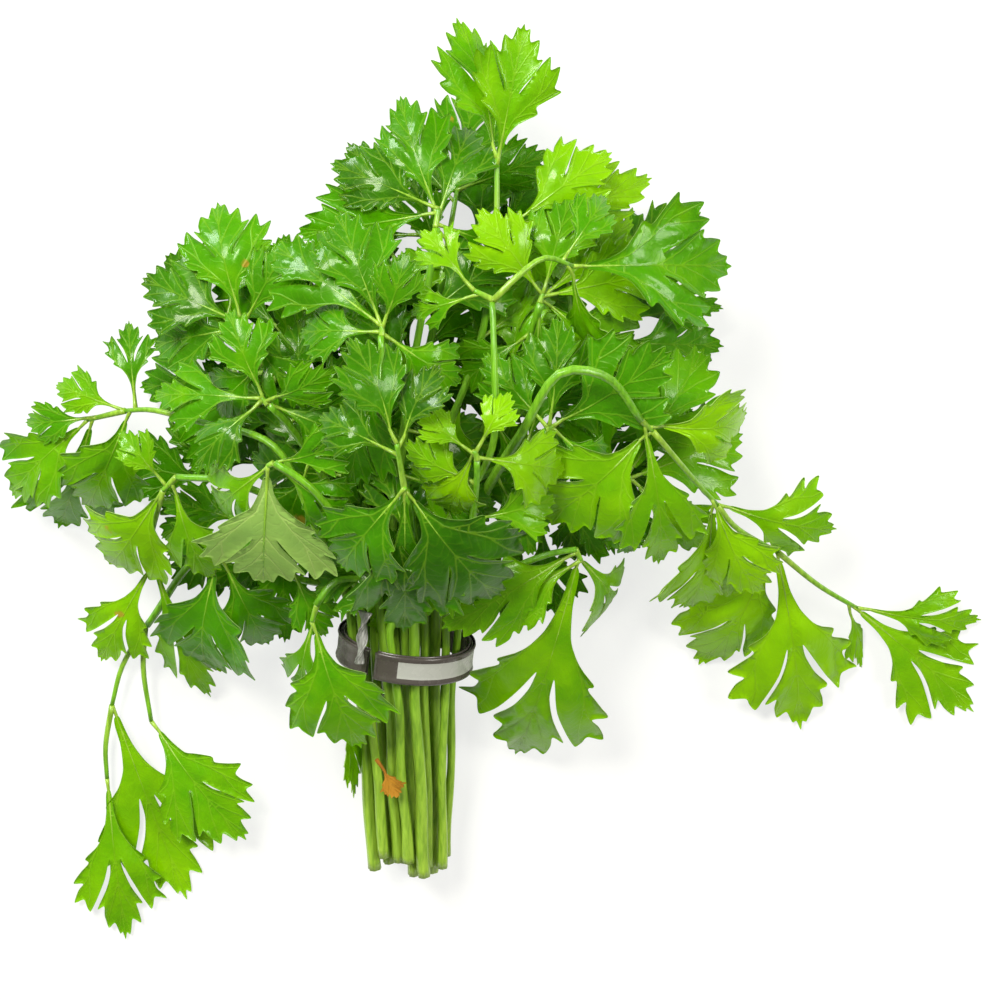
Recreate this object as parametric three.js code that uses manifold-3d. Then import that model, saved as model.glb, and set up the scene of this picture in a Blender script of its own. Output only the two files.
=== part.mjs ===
// A tied bunch of flat-leaf parsley, lying on its side on a flat surface.
// Millimetres, +Z up. The cut ends point towards -Y and the leaves towards +Y.

import * as THREE from "three";
import { mergeVertices } from "three/addons/utils/BufferGeometryUtils.js";
import Module from "manifold-3d";

const wasm = await Module();
wasm.setup();

// ---- Driving dimensions -------------------------------------------------------------------

const gap = 0.3;                 // left between pieces that touch
const weldTolerance = 0.03;      // corners closer than this become one in a join

// The stems run side by side through the tie, in rows like bottles in a rack.
const columnPitch = 6.6;
const rowPitch = 5.7;
const rowCount = 6;
const cutY = -86;                // where the longest stems are cut
const tieY = 0;
const fanY = 34;                 // from here each stem goes its own way
const bundleSlope = 0.145;       // the bundle rises towards the leaves
const tieHeight = 26.5;          // middle of the bundle above the table, at the tie
const squeezeAtCut = 0.8;        // the rows' spacing along the bundle, as a share of the pitch
const squeezeAtTie = 1.06;
const squeezeAtFan = 1.3;
const bundleTwist = 16;          // degrees, from the cut ends to the tie

const stemRadius = 2.3;
const forkRadius = 1.3;
const ribRadius = 1.1;
const ribEndRadius = 0.8;
const stalkHalfWidth = 0.7;      // of the short stalk of one leaflet
const stalkLength = 5;
const seatPitch = 2.2;           // between the leaflets at the end of one rib
const stemStep = 25;             // length of one straight stretch of a stem
const fanShare = 0.6;            // a short stem fans out before this share of its way to the leaf
const bladeThickness = 0.9;
const bladeCup = 0.16;           // how far a leaflet's sides fall, as a share of its half width

// The tie is a flat strip of two films with a wire along each edge.
const tieRadiusX = 24;
const tieRadiusZ = 21;
const tieWidth = 10;
const tieSkew = -7;              // degrees, seen from above
const tieMouth = 118;            // degrees round the tie from +X to where its ends are twisted
const mouthHalfAngle = 4;
const filmThickness = 0.35;
const wireRadius = 0.35;
const wireInset = 0.8;           // middle of each wire from the edge of the strip
const tailLength = 19;
const tailWidth = 4;
const tailThickness = 1.4;
const tailTurns = 1.5;
const tailStart = 4;             // how far inside the strip's edge the tail starts

// How fine the flat-sided shapes are.
const stemSides = 6;
const ribSides = 4;
const wireSteps = 24;
const filmSteps = 30;
const tailSteps = 8;

// ---- The sprigs ---------------------------------------------------------------------------
// slot: column and row of the stem inside the tie. cut: how much shorter the stem is cut.
// route: points of the stem past the bundle; the last one is where the leaf starts.
// ribs: each runs through its points, and carries its leaflets at its last point.
// A leaflet is [tip x, y, z, half width to length, roll in degrees, arch in mm].

const sprigs = [
  { name: "centre", slot: [0.5, 5], cut: 2, route: [[4, 50, 84], [3, 68, 96]], ribs: [
    { points: [[3, 68, 96], [3, 69, 98]],
      blades: [[-18, 40, 78, 0.48, 12, 5], [1, 12, 64, 0.36, 0, 5], [29, 29, 68, 0.46, -14, 5]] },
    { points: [[3, 68, 96], [1, 84, 104]],
      blades: [[-14, 116, 101, 0.46, 30, 5], [14, 108, 100, 0.42, -26, 3],
        [-24, 92, 96, 0.42, 10, 4]] } ] },
  { name: "forked", slot: [1, 4], cut: 4,
    route: [[16, 52, 70], [30, 80, 90], [31, 106, 92], [31, 127, 88]], ribs: [
    { points: [[31, 127, 88], [25, 130, 88]],
      blades: [[8, 148, 82, 0.44, 20, 3], [4, 122, 80, 0.4, 0, 3]] },
    { points: [[31, 127, 88], [38, 134, 88], [47, 140, 84], [56, 137, 78]],
      blades: [[107, 135, 52, 0.4, -8, 6], [74, 101, 56, 0.24, 50, 6], [67, 159, 66, 0.36, 0, 4]] } ] },
  { name: "right_arch", slot: [1.5, 3], cut: 0,
    route: [[22, 50, 52], [40, 84, 84], [52, 105, 93], [66, 103, 89],
    [78, 88, 80]], ribs: [
    { points: [[78, 88, 80], [82, 84, 76]],
      blades: [[48, 54, 62, 0.5, -10, 7], [116, 86, 60, 0.38, 14, 6], [84, 38, 52, 0.34, -24, 6]] },
    { points: [[82, 84, 76], [99, 63, 57], [106, 55, 50]],
      blades: [[148, 44, 34, 0.38, 16, 4], [98, 14, 28, 0.4, -24, 5], [122, 22, 30, 0.4, 0, 4]] },
    { points: [[106, 55, 50], [113, 46, 42], [129, 35, 30]],
      blades: [[142, -35, 1, 0.34, -8, 6], [106, -16, 8, 0.34, -10, 4]] },
    { points: [[129, 35, 30], [145, 21, 20], [160, 11, 12]],
      blades: [[206, 4, 5, 0.3, 12, 3], [207, -30, -5, 0.32, -6, 3], [164, -13, -2, 0.22, -40, 1]] } ] },
  { name: "front_right", slot: [2.5, 3], cut: 6, route: [[30, 30, 52], [48, 40, 60], [58, 42, 60]], ribs: [
    { points: [[58, 42, 60], [60, 38, 59]],
      blades: [[31, 18, 50, 0.38, 14, 4], [38, -48, 11, 0.28, 0, 10], [82, 2, 28, 0.4, -16, 5],
        [14, 14, 56, 0.34, 0, 3]] } ] },
  { name: "over_tie", slot: [-0.5, 5], cut: 8,
    route: [[-2, 18, 45], [-9, 29, 53], [-21, 31, 59], [-28, 23, 60]], ribs: [
    { points: [[-28, 23, 60], [-30, 17, 59]],
      blades: [[-15, -30, 44, 0.46, 8, 6], [-35, -16, 40, 0.34, 24, 4]] } ] },
  { name: "left_droop", slot: [-2.5, 3], cut: 3, route: [[-30, 34, 36], [-52, 42, 38], [-72, 32, 28],
    [-93, 5, 14]], ribs: [
    { points: [[-93, 5, 14], [-103, -12, 8], [-107, -26, 7]],
      blades: [[-83, -100, -5, 0.33, 4, 3]] },
    { points: [[-93, 5, 14], [-95, -12, 9], [-93, -32, 7]],
      blades: [[-60, -74, 15, 0.38, 6, 3]] },
    { points: [[-107, -26, 7], [-110, -42, 6], [-110, -54, 5]],
      blades: [[-107, -115, -5, 0.3, -14, 4]] } ] },
  { name: "far_left", slot: [-2, 4], cut: 9, route: [[-26, 48, 66], [-40, 78, 74], [-69, 85, 56]], ribs: [
    { points: [[-69, 85, 56], [-84, 87, 48], [-93, 86, 43]],
      blades: [[-118, 94, 36, 0.4, 10, 3], [-111, 48, 24, 0.4, -10, 5], [-92, 116, 38, 0.36, 6, 3]] },
    { points: [[-93, 86, 43], [-107, 82, 36]],
      blades: [[-138, 53, 20, 0.38, 16, 4], [-125, 36, 3, 0.38, -12, 4], [-130, 80, 30, 0.36, 0, 3]] } ] },
  { name: "left_bright", slot: [-1.5, 3], cut: 5,
    route: [[-30, 50, 50], [-56, 64, 58], [-75, 65, 53]], ribs: [
    { points: [[-75, 65, 52], [-80, 60, 50]],
      blades: [[-103, 29, 29, 0.46, -8, 5], [-94, 80, 50, 0.4, 10, 3], [-66, 30, 34, 0.42, 4, 4]] },
    { points: [[-80, 60, 50], [-87, 40, 34], [-88, 30, 26]],
      blades: [[-110, -9, 9, 0.34, 6, 4], [-74, -26, 16, 0.24, 20, 3]] } ] },
  { name: "pale_side", slot: [-1, 4], cut: 7, route: [[-16, 50, 74], [-28, 68, 86], [-39, 75, 86]], ribs: [
    { points: [[-39, 75, 86], [-41, 74, 85]],
      blades: [[-46, 32, 57, 0.5, 176, -6], [-12, 84, 91, 0.4, 10, 3], [-64, 54, 62, 0.44, 14, 4],
        [-14, 54, 74, 0.4, 0, 4]] } ] },
  { name: "low_left", slot: [-1.5, 1], cut: 12, route: [[-38, 26, 30], [-52, 36, 42]], ribs: [
    { points: [[-52, 36, 42], [-64, 34, 40]],
      blades: [[-72, -10, 13, 0.46, 4, 5], [-48, -3, 20, 0.4, -6, 4]] },
    { points: [[-52, 36, 42], [-38, 34, 48]],
      blades: [[-27, 8, 40, 0.42, 4, 3], [-14, 44, 52, 0.42, -6, 3]] } ] },
  { name: "upper_left", slot: [-1, 2], cut: 4,
    route: [[-16, 60, 44], [-34, 92, 58], [-50, 115, 64]], ribs: [
    { points: [[-50, 115, 64], [-51, 118, 64]],
      blades: [[-60, 156, 57, 0.5, -6, 4], [-84, 131, 52, 0.4, 8, 3], [-34, 143, 63, 0.44, -10, 3],
        [-82, 108, 46, 0.42, 14, 3], [-30, 90, 62, 0.44, 0, 4]] } ] },
  { name: "upper_middle", slot: [0, 4], cut: 1, route: [[2, 56, 68], [-4, 90, 86], [-4, 116, 89]], ribs: [
    { points: [[-4, 116, 89], [-4, 119, 89]],
      blades: [[-39, 143, 69, 0.44, 8, 4], [-17, 153, 74, 0.4, -6, 4], [4, 142, 93, 0.42, 14, 2],
        [-33, 117, 80, 0.4, 20, 3], [20, 100, 78, 0.4, 0, 4]] } ] },
  { name: "top_left", slot: [-0.5, 3], cut: 5, route: [[-2, 60, 46], [6, 110, 56], [12, 148, 57]], ribs: [
    { points: [[12, 148, 57], [13, 154, 56]],
      blades: [[-22, 168, 47, 0.38, 8, 4], [-34, 148, 54, 0.36, 16, 3], [0, 190, 42, 0.36, -8, 4],
        [24, 182, 42, 0.4, 0, 4], [36, 140, 48, 0.4, 0, 3]] } ] },
  { name: "crown", slot: [0.5, 3], cut: 0, route: [[8, 60, 44], [26, 110, 50], [32, 145, 53]], ribs: [
    { points: [[32, 145, 53], [32, 160, 52], [32, 170, 51]],
      blades: [[20, 215, 44, 0.36, 34, 3], [41, 212, 50, 0.36, -6, 3]] },
    { points: [[32, 145, 53], [37, 149, 54]],
      blades: [[69, 171, 46, 0.42, -10, 4], [86, 162, 42, 0.26, 14, 2], [58, 132, 44, 0.42, 0, 4]] } ] },
  { name: "curled", slot: [2, 4], cut: 3, route: [[22, 46, 72], [26, 68, 92], [26, 78, 98]], ribs: [
    { points: [[26, 78, 98], [25, 81, 99]],
      blades: [[10, 55, 84, 0.34, 24, 4], [36, 99, 97, 0.4, -8, 3], [7, 93, 100, 0.34, 10, 2],
        [56, 72, 82, 0.42, -10, 3]] } ] },
  { name: "right_middle", slot: [1, 2], cut: 6, route: [[18, 56, 40], [38, 74, 66], [48, 84, 74]], ribs: [
    { points: [[48, 84, 74], [50, 85, 74]],
      blades: [[36, 54, 70, 0.42, 10, 4], [66, 68, 62, 0.4, -10, 4], [86, 108, 66, 0.42, -6, 4],
        [52, 120, 74, 0.4, 8, 3], [28, 108, 70, 0.42, 0, 4], [58, 44, 56, 0.4, 0, 4]] } ] },
  { name: "top_right", slot: [1.5, 1], cut: 7, route: [[20, 60, 30], [38, 100, 52], [46, 124, 62]], ribs: [
    { points: [[46, 124, 62], [47, 127, 62]],
      blades: [[56, 158, 56, 0.4, -6, 4], [26, 154, 64, 0.4, 8, 3], [87, 133, 51, 0.42, -8, 4],
        [78, 150, 46, 0.3, 10, 3], [79, 101, 44, 0.42, 6, 4], [44, 90, 52, 0.42, 0, 4]] } ] },
  { name: "left_middle", slot: [-2, 2], cut: 10,
    route: [[-22, 56, 44], [-36, 84, 66], [-42, 92, 72]], ribs: [
    { points: [[-42, 92, 72], [-44, 94, 72]],
      blades: [[-80, 92, 52, 0.38, 12, 4], [-66, 74, 60, 0.36, -6, 3], [-54, 122, 68, 0.42, -10, 3],
        [-20, 104, 84, 0.4, 8, 3], [-8, 78, 66, 0.42, -8, 4]] } ] },
  { name: "right_back", slot: [2, 2], cut: 8, route: [[32, 40, 34], [58, 56, 44], [74, 62, 44]], ribs: [
    { points: [[74, 62, 44], [77, 63, 43]],
      blades: [[104, 36, 26, 0.4, 6, 4], [116, 76, 30, 0.44, -6, 4], [76, 18, 30, 0.44, 10, 4],
        [102, 106, 36, 0.42, 0, 4], [58, 92, 40, 0.44, 0, 4]] } ] },
];

// Sprigs at the back and under the bunch, each a leaf of groups of three leaflets.
// heading: degrees from +X. reach: from the fork to the farthest tip. sides: of the heading, a group each.
const backRibSpread = 50;        // degrees between the ribs
const backLeafletSpread = 58;    // degrees between the leaflets of one rib
const sideRibReach = 0.26;       // shares of the leaf's reach
const middleRibReach = 0.4;
const sideLeafletReach = 0.5;
const middleLeafletReach = 0.6;
const backRibDrop = 0.6;         // height of the ribs' ends as a share of the fork's height
const backLeafletStep = 4;       // difference in height of neighbouring tips
const backLeafletWidth = 0.38;
const backLeafletArch = 2;
const backSprigs = [
  { name: "under_left", slot: [-1, 0], cut: 4, fork: [-44, 52, 16], heading: 170, reach: 62,
    sides: [-2, -1, 0, 1, 2] },
  { name: "under_middle", slot: [0, 0], cut: 2, fork: [-6, 88, 16], heading: 100, reach: 64,
    sides: [-2, -1, 0, 1, 2] },
  { name: "under_right", slot: [1, 0], cut: 6, fork: [44, 60, 16], heading: 20, reach: 62,
    sides: [-2, -1, 0, 1] },
  { name: "under_top", slot: [-0.5, 1], cut: 3, fork: [14, 134, 30], heading: 80, reach: 62,
    sides: [-2, -1, 0, 1, 2] },
  { name: "under_upper_left", slot: [0, 2], cut: 7, fork: [-42, 98, 32], heading: 140, reach: 62,
    sides: [-1, 0, 1, 2] },
  { name: "under_upper_right", slot: [0.5, 1], cut: 5, fork: [58, 108, 32], heading: 45, reach: 62,
    sides: [-1, 0, 1, 2] },
];

// Loose leaflets caught on the stems below the tie.
const looseLeaflets = [
  { name: "withered_leaflet", start: [-10, -37, 38], form: [-2, -50, 37, 0.42, 20, 1], finish: "withered" },
  { name: "tucked_leaflet", start: [-21, -17, 30], form: [-20, -54, 26, 0.24, -64, 1], finish: "leaf" },
];

function turned([x, y], degrees, distance) {
  const angle = THREE.MathUtils.degToRad(degrees);
  return [x + distance * Math.cos(angle), y + distance * Math.sin(angle)];
}

function withRibs(sprig) {
  const { fork, heading, reach, sides } = sprig;
  const ribs = sides.map((side) => {
    const direction = heading + backRibSpread * side;
    const node = turned(fork, direction, reach * (side ? sideRibReach : middleRibReach));
    node.push(backRibDrop * fork[2]);
    const blades = [-1, 0, 1].map((turn) => {
      const leafletReach = reach * (turn ? sideLeafletReach : middleLeafletReach);
      const tip = turned(node, direction + backLeafletSpread * turn, leafletReach);
      return [...tip, backLeafletStep * (side - turn), backLeafletWidth, 0, backLeafletArch];
    });
    return { points: [fork, node], blades };
  });
  return { ...sprig, route: [fork], ribs };
}

// ---- Solids -------------------------------------------------------------------------------

const point = (p) => new THREE.Vector3(...p);

function solidOf(geometry) {
  geometry.deleteAttribute("normal");
  geometry.deleteAttribute("uv");
  const merged = mergeVertices(geometry, 1e-4);
  return new wasm.Manifold(new wasm.Mesh({
    numProp: 3,
    vertProperties: new Float32Array(merged.attributes.position.array),
    triVerts: new Uint32Array(merged.index.array),
    tolerance: weldTolerance,
  }));
}

function geometryOf(solid) {
  const { vertProperties, triVerts } = solid.getMesh();
  const geometry = new THREE.BufferGeometry();
  geometry.setAttribute("position", new THREE.BufferAttribute(vertProperties, 3));
  geometry.setIndex(new THREE.BufferAttribute(triVerts, 1));
  geometry.computeVertexNormals();
  return geometry;
}

// Moves every vertex of a geometry to the place that a function gives for it.
function reshape(geometry, place) {
  const vertices = geometry.attributes.position;
  for (let i = 0; i < vertices.count; i += 1) {
    vertices.setXYZ(i, ...place(new THREE.Vector3().fromBufferAttribute(vertices, i)));
  }
  return geometry;
}

// A tube of a few flat sides along a smooth curve, tapering from its first radius to its last.
function tube(points, firstRadius, lastRadius, sides, steps) {
  const extrudePath = new THREE.CatmullRomCurve3(points.map(point), false, "centripetal");
  const corner = (_, i) => {
    const angle = 2 * Math.PI * i / sides;
    return new THREE.Vector2(Math.cos(angle), Math.sin(angle)).multiplyScalar(firstRadius);
  };
  const section = new THREE.Shape(Array.from({ length: sides }, corner));
  const geometry = new THREE.ExtrudeGeometry(section, { steps, extrudePath });
  const centres = extrudePath.getSpacedPoints(steps);
  return solidOf(reshape(geometry, (vertex) => {
    const distances = centres.map((centre) => centre.distanceTo(vertex));
    const step = distances.indexOf(Math.min(...distances));
    const taper = 1 + (lastRadius / firstRadius - 1) * step / steps;
    return vertex.sub(centres[step]).multiplyScalar(taper).add(centres[step]);
  }));
}

// ---- Leaflets -----------------------------------------------------------------------------

// One side of a leaflet, base to tip: [along the length, share of the half width].
const sideOutline = [[0.46, 1], [0.7, 0.82], [0.5, 0.28], [0.82, 0.42]];

// What lies low is pressed flat by the surface underneath: heights fade towards restHeight.
const pressHeight = 5;
const restHeight = 0.7;
function pressed(z) {
  if (z >= pressHeight) {
    return z;
  }
  const room = pressHeight - restHeight;
  return restHeight + room * Math.exp((z - pressHeight) / room);
}

// A leaflet's own axes: along its midrib, across it, and out of its upper face.
function leafletAxes(base, tip, roll) {
  const along = tip.clone().sub(base).normalize();
  const steep = Math.abs(along.z) > 0.95;
  const upright = steep ? new THREE.Vector3(0, 1, 0) : new THREE.Vector3(0, 0, 1);
  const out = upright.addScaledVector(along, -upright.dot(along)).normalize();
  out.applyAxisAngle(along, THREE.MathUtils.degToRad(roll));
  return { along, out, across: out.clone().cross(along) };
}

// A leaflet and its stalk, from a node of the rib. rise and turn shift it off its neighbours.
function leaflet(node, [x, y, z, width, roll, arch], { rise, turn, size }, spare) {
  const from = point(node);
  const wish = point([x, y, z]);
  const first = leafletAxes(from, wish, roll);
  const tip = from.clone().lerp(wish, size).addScaledVector(first.out, rise);
  const { along, out, across } = leafletAxes(from, tip, roll + turn);
  const base = from.clone().addScaledVector(along, stalkLength);
  const length = tip.distanceTo(base);
  const halfWidth = width * length;
  const place = (share, side, height) => {
    const sag = bladeCup * halfWidth * side * side;
    const lift = share > 0 ? 4 * arch * share * (1 - share) - sag : 0;
    const spot = base.clone().addScaledVector(along, length * share);
    spot.addScaledVector(across, halfWidth * side).addScaledVector(out, lift);
    spot.z = pressed(spot.z);
    return spot.addScaledVector(out, height);
  };
  const root = -stalkLength / length;
  const neck = (stalkHalfWidth + spare / 2) / halfWidth;
  const side = [[root, neck], [0, neck], ...sideOutline].map((corner) => new THREE.Vector2(...corner));
  const mirrored = side.map((corner) => new THREE.Vector2(corner.x, -corner.y)).reverse();
  const outline = new THREE.Shape([...side, new THREE.Vector2(1, 0), ...mirrored]);
  const plate = new THREE.ExtrudeGeometry(outline, { depth: 1, bevelEnabled: false });
  const thickness = bladeThickness + spare;
  return solidOf(reshape(plate, (v) => place(v.x, v.y, (v.z - 0.5) * thickness)));
}

// ---- Placing the pieces clear of each other -----------------------------------------------

const placed = [];
const rootOverlap = 14;          // mm3 that leaflets of one rib may share where they start

function boxesMeet(a, b) {
  return [0, 1, 2].every((axis) => a.min[axis] < b.max[axis] && b.min[axis] < a.max[axis]);
}

function clashes(solid, owner, rib) {
  const box = solid.boundingBox();
  return placed.filter((other) => {
    const own = other.owner === owner;
    if ((own && other.rib === undefined) || !boxesMeet(box, other.box)) {
      return false;
    }
    const shared = solid.intersect(other.solid);
    const volume = shared.volume();
    shared.delete();
    return volume > (own && other.rib === rib ? rootOverlap : 0);
  }).map((other) => other.owner);
}

function put(owner, solid, rib) {
  placed.push({ owner, rib, solid, box: solid.boundingBox() });
  return solid;
}

// Where a leaflet sits on its rib: the first at the end, the others a little lower.
function seat(points, place, count) {
  const end = point(points.at(-1));
  const back = point(points.at(-2)).sub(end);
  const pitch = Math.min(seatPitch, back.length() / count);
  return end.addScaledVector(back.normalize(), pitch * place).toArray();
}

// Ways to move a leaflet off its neighbours, the smallest change first.
const shifts = [{ rise: 0, turn: 0, size: 1 }];
for (const size of [1, 0.86, 0.72]) {
  for (const rise of [3, -3, 6, -6, 10, -10, 14]) {
    shifts.push({ rise, turn: 2 * rise, size });
  }
}

function placeLeaflet(owner, rib, node, form) {
  for (const shift of shifts) {
    const roomy = leaflet(node, form, shift, gap);
    const free = clashes(roomy, owner, rib).length === 0;
    if (free) {
      return { roomy, solid: put(owner, leaflet(node, form, shift, 0), rib) };
    }
  }
  return null;
}

// ---- Stems --------------------------------------------------------------------------------

function bundlePoint([column, row], y, squeeze) {
  const across = new THREE.Vector2(column * columnPitch, (row - (rowCount - 1) / 2) * rowPitch);
  const turn = THREE.MathUtils.degToRad(bundleTwist * (y - tieY) / (tieY - cutY));
  across.multiplyScalar(squeeze).rotateAround(new THREE.Vector2(), turn);
  return [across.x, y, tieHeight + bundleSlope * (y - tieY) + across.y];
}

function stem({ slot, cut, route }) {
  const fan = Math.min(fanY, fanShare * route[0][1]);
  const points = [
    bundlePoint(slot, cutY + cut, squeezeAtCut),
    bundlePoint(slot, tieY, squeezeAtTie),
    bundlePoint(slot, fan, THREE.MathUtils.lerp(squeezeAtTie, squeezeAtFan, fan / fanY)),
    ...route,
  ];
  const fork = point(points.pop());
  const before = point(points.at(-1));
  fork.addScaledVector(before.sub(fork).normalize(), gap);
  const length = new THREE.CatmullRomCurve3([...points.map(point), fork]).getLength();
  const steps = Math.round(length / stemStep);
  return tube([...points, fork.toArray()], stemRadius, forkRadius, stemSides, steps);
}

// ---- The tie ------------------------------------------------------------------------------

// The tie's own plane: X across, Y up out of the surface, Z along the bundle towards the cut ends.
const tiePlane = new THREE.Matrix4().makeTranslation(0, tieY, tieHeight)
  .multiply(new THREE.Matrix4().makeRotationZ(THREE.MathUtils.degToRad(tieSkew)))
  .multiply(new THREE.Matrix4().makeRotationX(Math.PI / 2 + Math.atan(bundleSlope)));

const mouthStart = THREE.MathUtils.degToRad(tieMouth + mouthHalfAngle);
const mouthEnd = THREE.MathUtils.degToRad(tieMouth - mouthHalfAngle + 360);

function tieArc(inset, count) {
  const arc = new THREE.EllipseCurve(0, 0, tieRadiusX - inset, tieRadiusZ - inset, mouthStart, mouthEnd);
  return arc.getPoints(count);
}

// A film is a band round the bundle, open at the mouth where the ends come out.
function film(inset) {
  const outer = tieArc(inset, filmSteps);
  const inner = tieArc(inset + filmThickness, filmSteps).reverse();
  const section = new THREE.Shape([...outer, ...inner]);
  const band = new THREE.ExtrudeGeometry(section, { depth: tieWidth, bevelEnabled: false });
  band.translate(0, 0, -tieWidth / 2);
  return solidOf(band.applyMatrix4(tiePlane));
}

function wire(along) {
  const middle = filmThickness + gap + wireRadius;
  const points = tieArc(middle, wireSteps)
    .map((p) => new THREE.Vector3(p.x, p.y, along).applyMatrix4(tiePlane).toArray());
  return tube(points, wireRadius, wireRadius, ribSides, wireSteps);
}

// The two ends of the strip, twisted round each other.
function tail() {
  const bar = new THREE.BoxGeometry(tailWidth, tailThickness, tailLength, 1, 1, tailSteps);
  reshape(bar, (v) => {
    const angle = 2 * Math.PI * tailTurns * (v.z / tailLength);
    return v.applyAxisAngle(new THREE.Vector3(0, 0, 1), angle);
  });
  const out = tieArc(-tailWidth, 1)[0];
  bar.translate(out.x, out.y, tailStart - (tieWidth + tailLength) / 2);
  return solidOf(bar.applyMatrix4(tiePlane));
}

function ribTube(points, spare) {
  return tube(points, ribRadius + spare, ribEndRadius + spare, ribSides, points.length);
}

// ---- The bunch ----------------------------------------------------------------------------

const bunch = new THREE.Group();
const finishes = {
  stem: { color: 0x9dbb4f, roughness: 0.45 },
  leaf: { color: 0x4f9a22, roughness: 0.5 },
  tie: { color: 0x4a4643, roughness: 0.4 },
  wire: { color: 0xa0a0a0, roughness: 0.35, metalness: 1 },
  withered: { color: 0xb5762a, roughness: 0.8 },
};

function add(name, solid, finish) {
  const mesh = new THREE.Mesh(geometryOf(solid), new THREE.MeshStandardMaterial(finishes[finish]));
  mesh.name = name;
  bunch.add(mesh);
}

const tiePieces = {
  tie_outer_film: film(0),
  tie_inner_film: film(filmThickness + 2 * (gap + wireRadius)),
  tie_upper_wire: wire(tieWidth / 2 - wireInset),
  tie_lower_wire: wire(wireInset - tieWidth / 2),
  tie_twisted_ends: tail(),
};
for (const [name, solid] of Object.entries(tiePieces)) {
  add(name, put("tie", solid), name.endsWith("wire") ? "wire" : "tie");
}

const grown = [...sprigs, ...backSprigs.map(withRibs)];
for (const sprig of grown) {
  sprig.stem = put(sprig.name, stem(sprig));
}
for (const sprig of grown) {
  sprig.frame = sprig.ribs.map(({ points }) => put(sprig.name, ribTube(points, 0)));
}
for (const sprig of grown) {
  const leaflets = sprig.ribs.flatMap(({ points, blades }, rib) => blades.map((form, place) => (
    placeLeaflet(sprig.name, rib, seat(points, place, blades.length), form)))).filter(Boolean);
  const ribs = sprig.ribs.map(({ points }) => ribTube(points, gap));
  const room = [...ribs, ...leaflets.map(({ roomy }) => roomy)];
  const parts = sprig.stem.subtract(wasm.Manifold.union(room)).decompose();
  add(`stem_${sprig.name}`, parts.sort((a, b) => b.volume() - a.volume())[0], "stem");
  const leaf = wasm.Manifold.union([...sprig.frame, ...leaflets.map(({ solid }) => solid)]);
  add(`leaf_${sprig.name}`, leaf, "leaf");
}
for (const { name, start, form, finish } of looseLeaflets) {
  const solid = leaflet(start, form, shifts[0], 0);
  add(name, put(name, solid), finish);
}

// The origin is in the middle of the box that holds the bunch, on the surface that it lies on.
const box = new THREE.Box3().setFromObject(bunch);
const middle = box.getCenter(new THREE.Vector3());
bunch.position.set(-middle.x, -middle.y, -box.min.z);

export default bunch;
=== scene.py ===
import math

import bpy
import numpy as np
from mathutils import Matrix, Vector, geometry


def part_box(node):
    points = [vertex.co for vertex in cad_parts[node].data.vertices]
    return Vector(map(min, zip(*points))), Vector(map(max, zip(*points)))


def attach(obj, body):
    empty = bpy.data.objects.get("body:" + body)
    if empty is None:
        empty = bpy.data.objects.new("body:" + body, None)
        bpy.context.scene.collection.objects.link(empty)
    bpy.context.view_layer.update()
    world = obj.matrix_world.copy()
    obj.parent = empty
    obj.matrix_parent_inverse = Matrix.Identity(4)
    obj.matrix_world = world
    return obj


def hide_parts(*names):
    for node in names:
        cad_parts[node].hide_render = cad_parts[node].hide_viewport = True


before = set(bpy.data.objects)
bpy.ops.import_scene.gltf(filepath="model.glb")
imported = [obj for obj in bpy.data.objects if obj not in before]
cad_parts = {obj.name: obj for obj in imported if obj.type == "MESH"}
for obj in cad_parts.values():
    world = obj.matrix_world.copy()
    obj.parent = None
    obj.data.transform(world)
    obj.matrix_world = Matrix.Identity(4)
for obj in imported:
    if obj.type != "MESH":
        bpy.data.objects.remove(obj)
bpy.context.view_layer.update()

# ---- The camera ---------------------------------------------------------------------------
# The bunch lies on its side and is seen from above, from a little past its leaves, so that the
# tie and the stems are seen slightly from their leafy side.
# Places are in millimetres from the point of the surface under the middle of the tie.

MM = 0.001
TIE_MIDDLE = 26.5               # its height above the surface
tie_low, tie_high = (Vector(corner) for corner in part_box("tie_outer_film"))
tie_foot = (tie_low + tie_high) / 2 - Vector((0, 0, TIE_MIDDLE * MM))


def at(x, y, z):
    return tie_foot + Vector((x, y, z)) * MM


def link_object(name, data):
    """Puts a new object into the scene, at the origin."""
    made = bpy.data.objects.new(name, data)
    bpy.context.scene.collection.objects.link(made)
    return made


CAMERA_TILT = math.radians(10)
CAMERA_DISTANCE = 760
CAMERA_TARGET = (33, 55, 40)
HALF_VIEW = 170                 # half of the width that the camera takes in at its target
SENSOR_WIDTH = 36
NEAREST_SEEN = 50

camera_data = bpy.data.cameras.new("camera")
camera_data.sensor_width = SENSOR_WIDTH
camera_data.lens = SENSOR_WIDTH / 2 * CAMERA_DISTANCE / HALF_VIEW
camera_data.clip_start = NEAREST_SEEN * MM
camera = link_object("camera", camera_data)
view_back = Vector((0, math.sin(CAMERA_TILT), math.cos(CAMERA_TILT)))
camera.location = at(*CAMERA_TARGET) + view_back * CAMERA_DISTANCE * MM
camera.rotation_euler = (-CAMERA_TILT, 0, 0)
bpy.context.scene.camera = camera

# ---- The floor and the light --------------------------------------------------------------
# A white table that runs out of sight, a soft lamp over the leafy end, a weaker one at the right
# and a cooler one low at the left, as from a window, in a pale room. All of it is in metres.

FLOOR_SIZE = 6.0
FLOOR_DROP = 0.0002             # keeps the table just clear of what lies on it
FLOOR_WHITE = "#f4f4f2"
FLOOR_GLOW = 0.72               # the share of its white that the eye sees whatever the light
ROOM_LIGHT = (1, 1, 0.88, 1)
ROOM_STRENGTH = 0.31

bpy.context.scene.view_settings.view_transform = "Standard"


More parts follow.
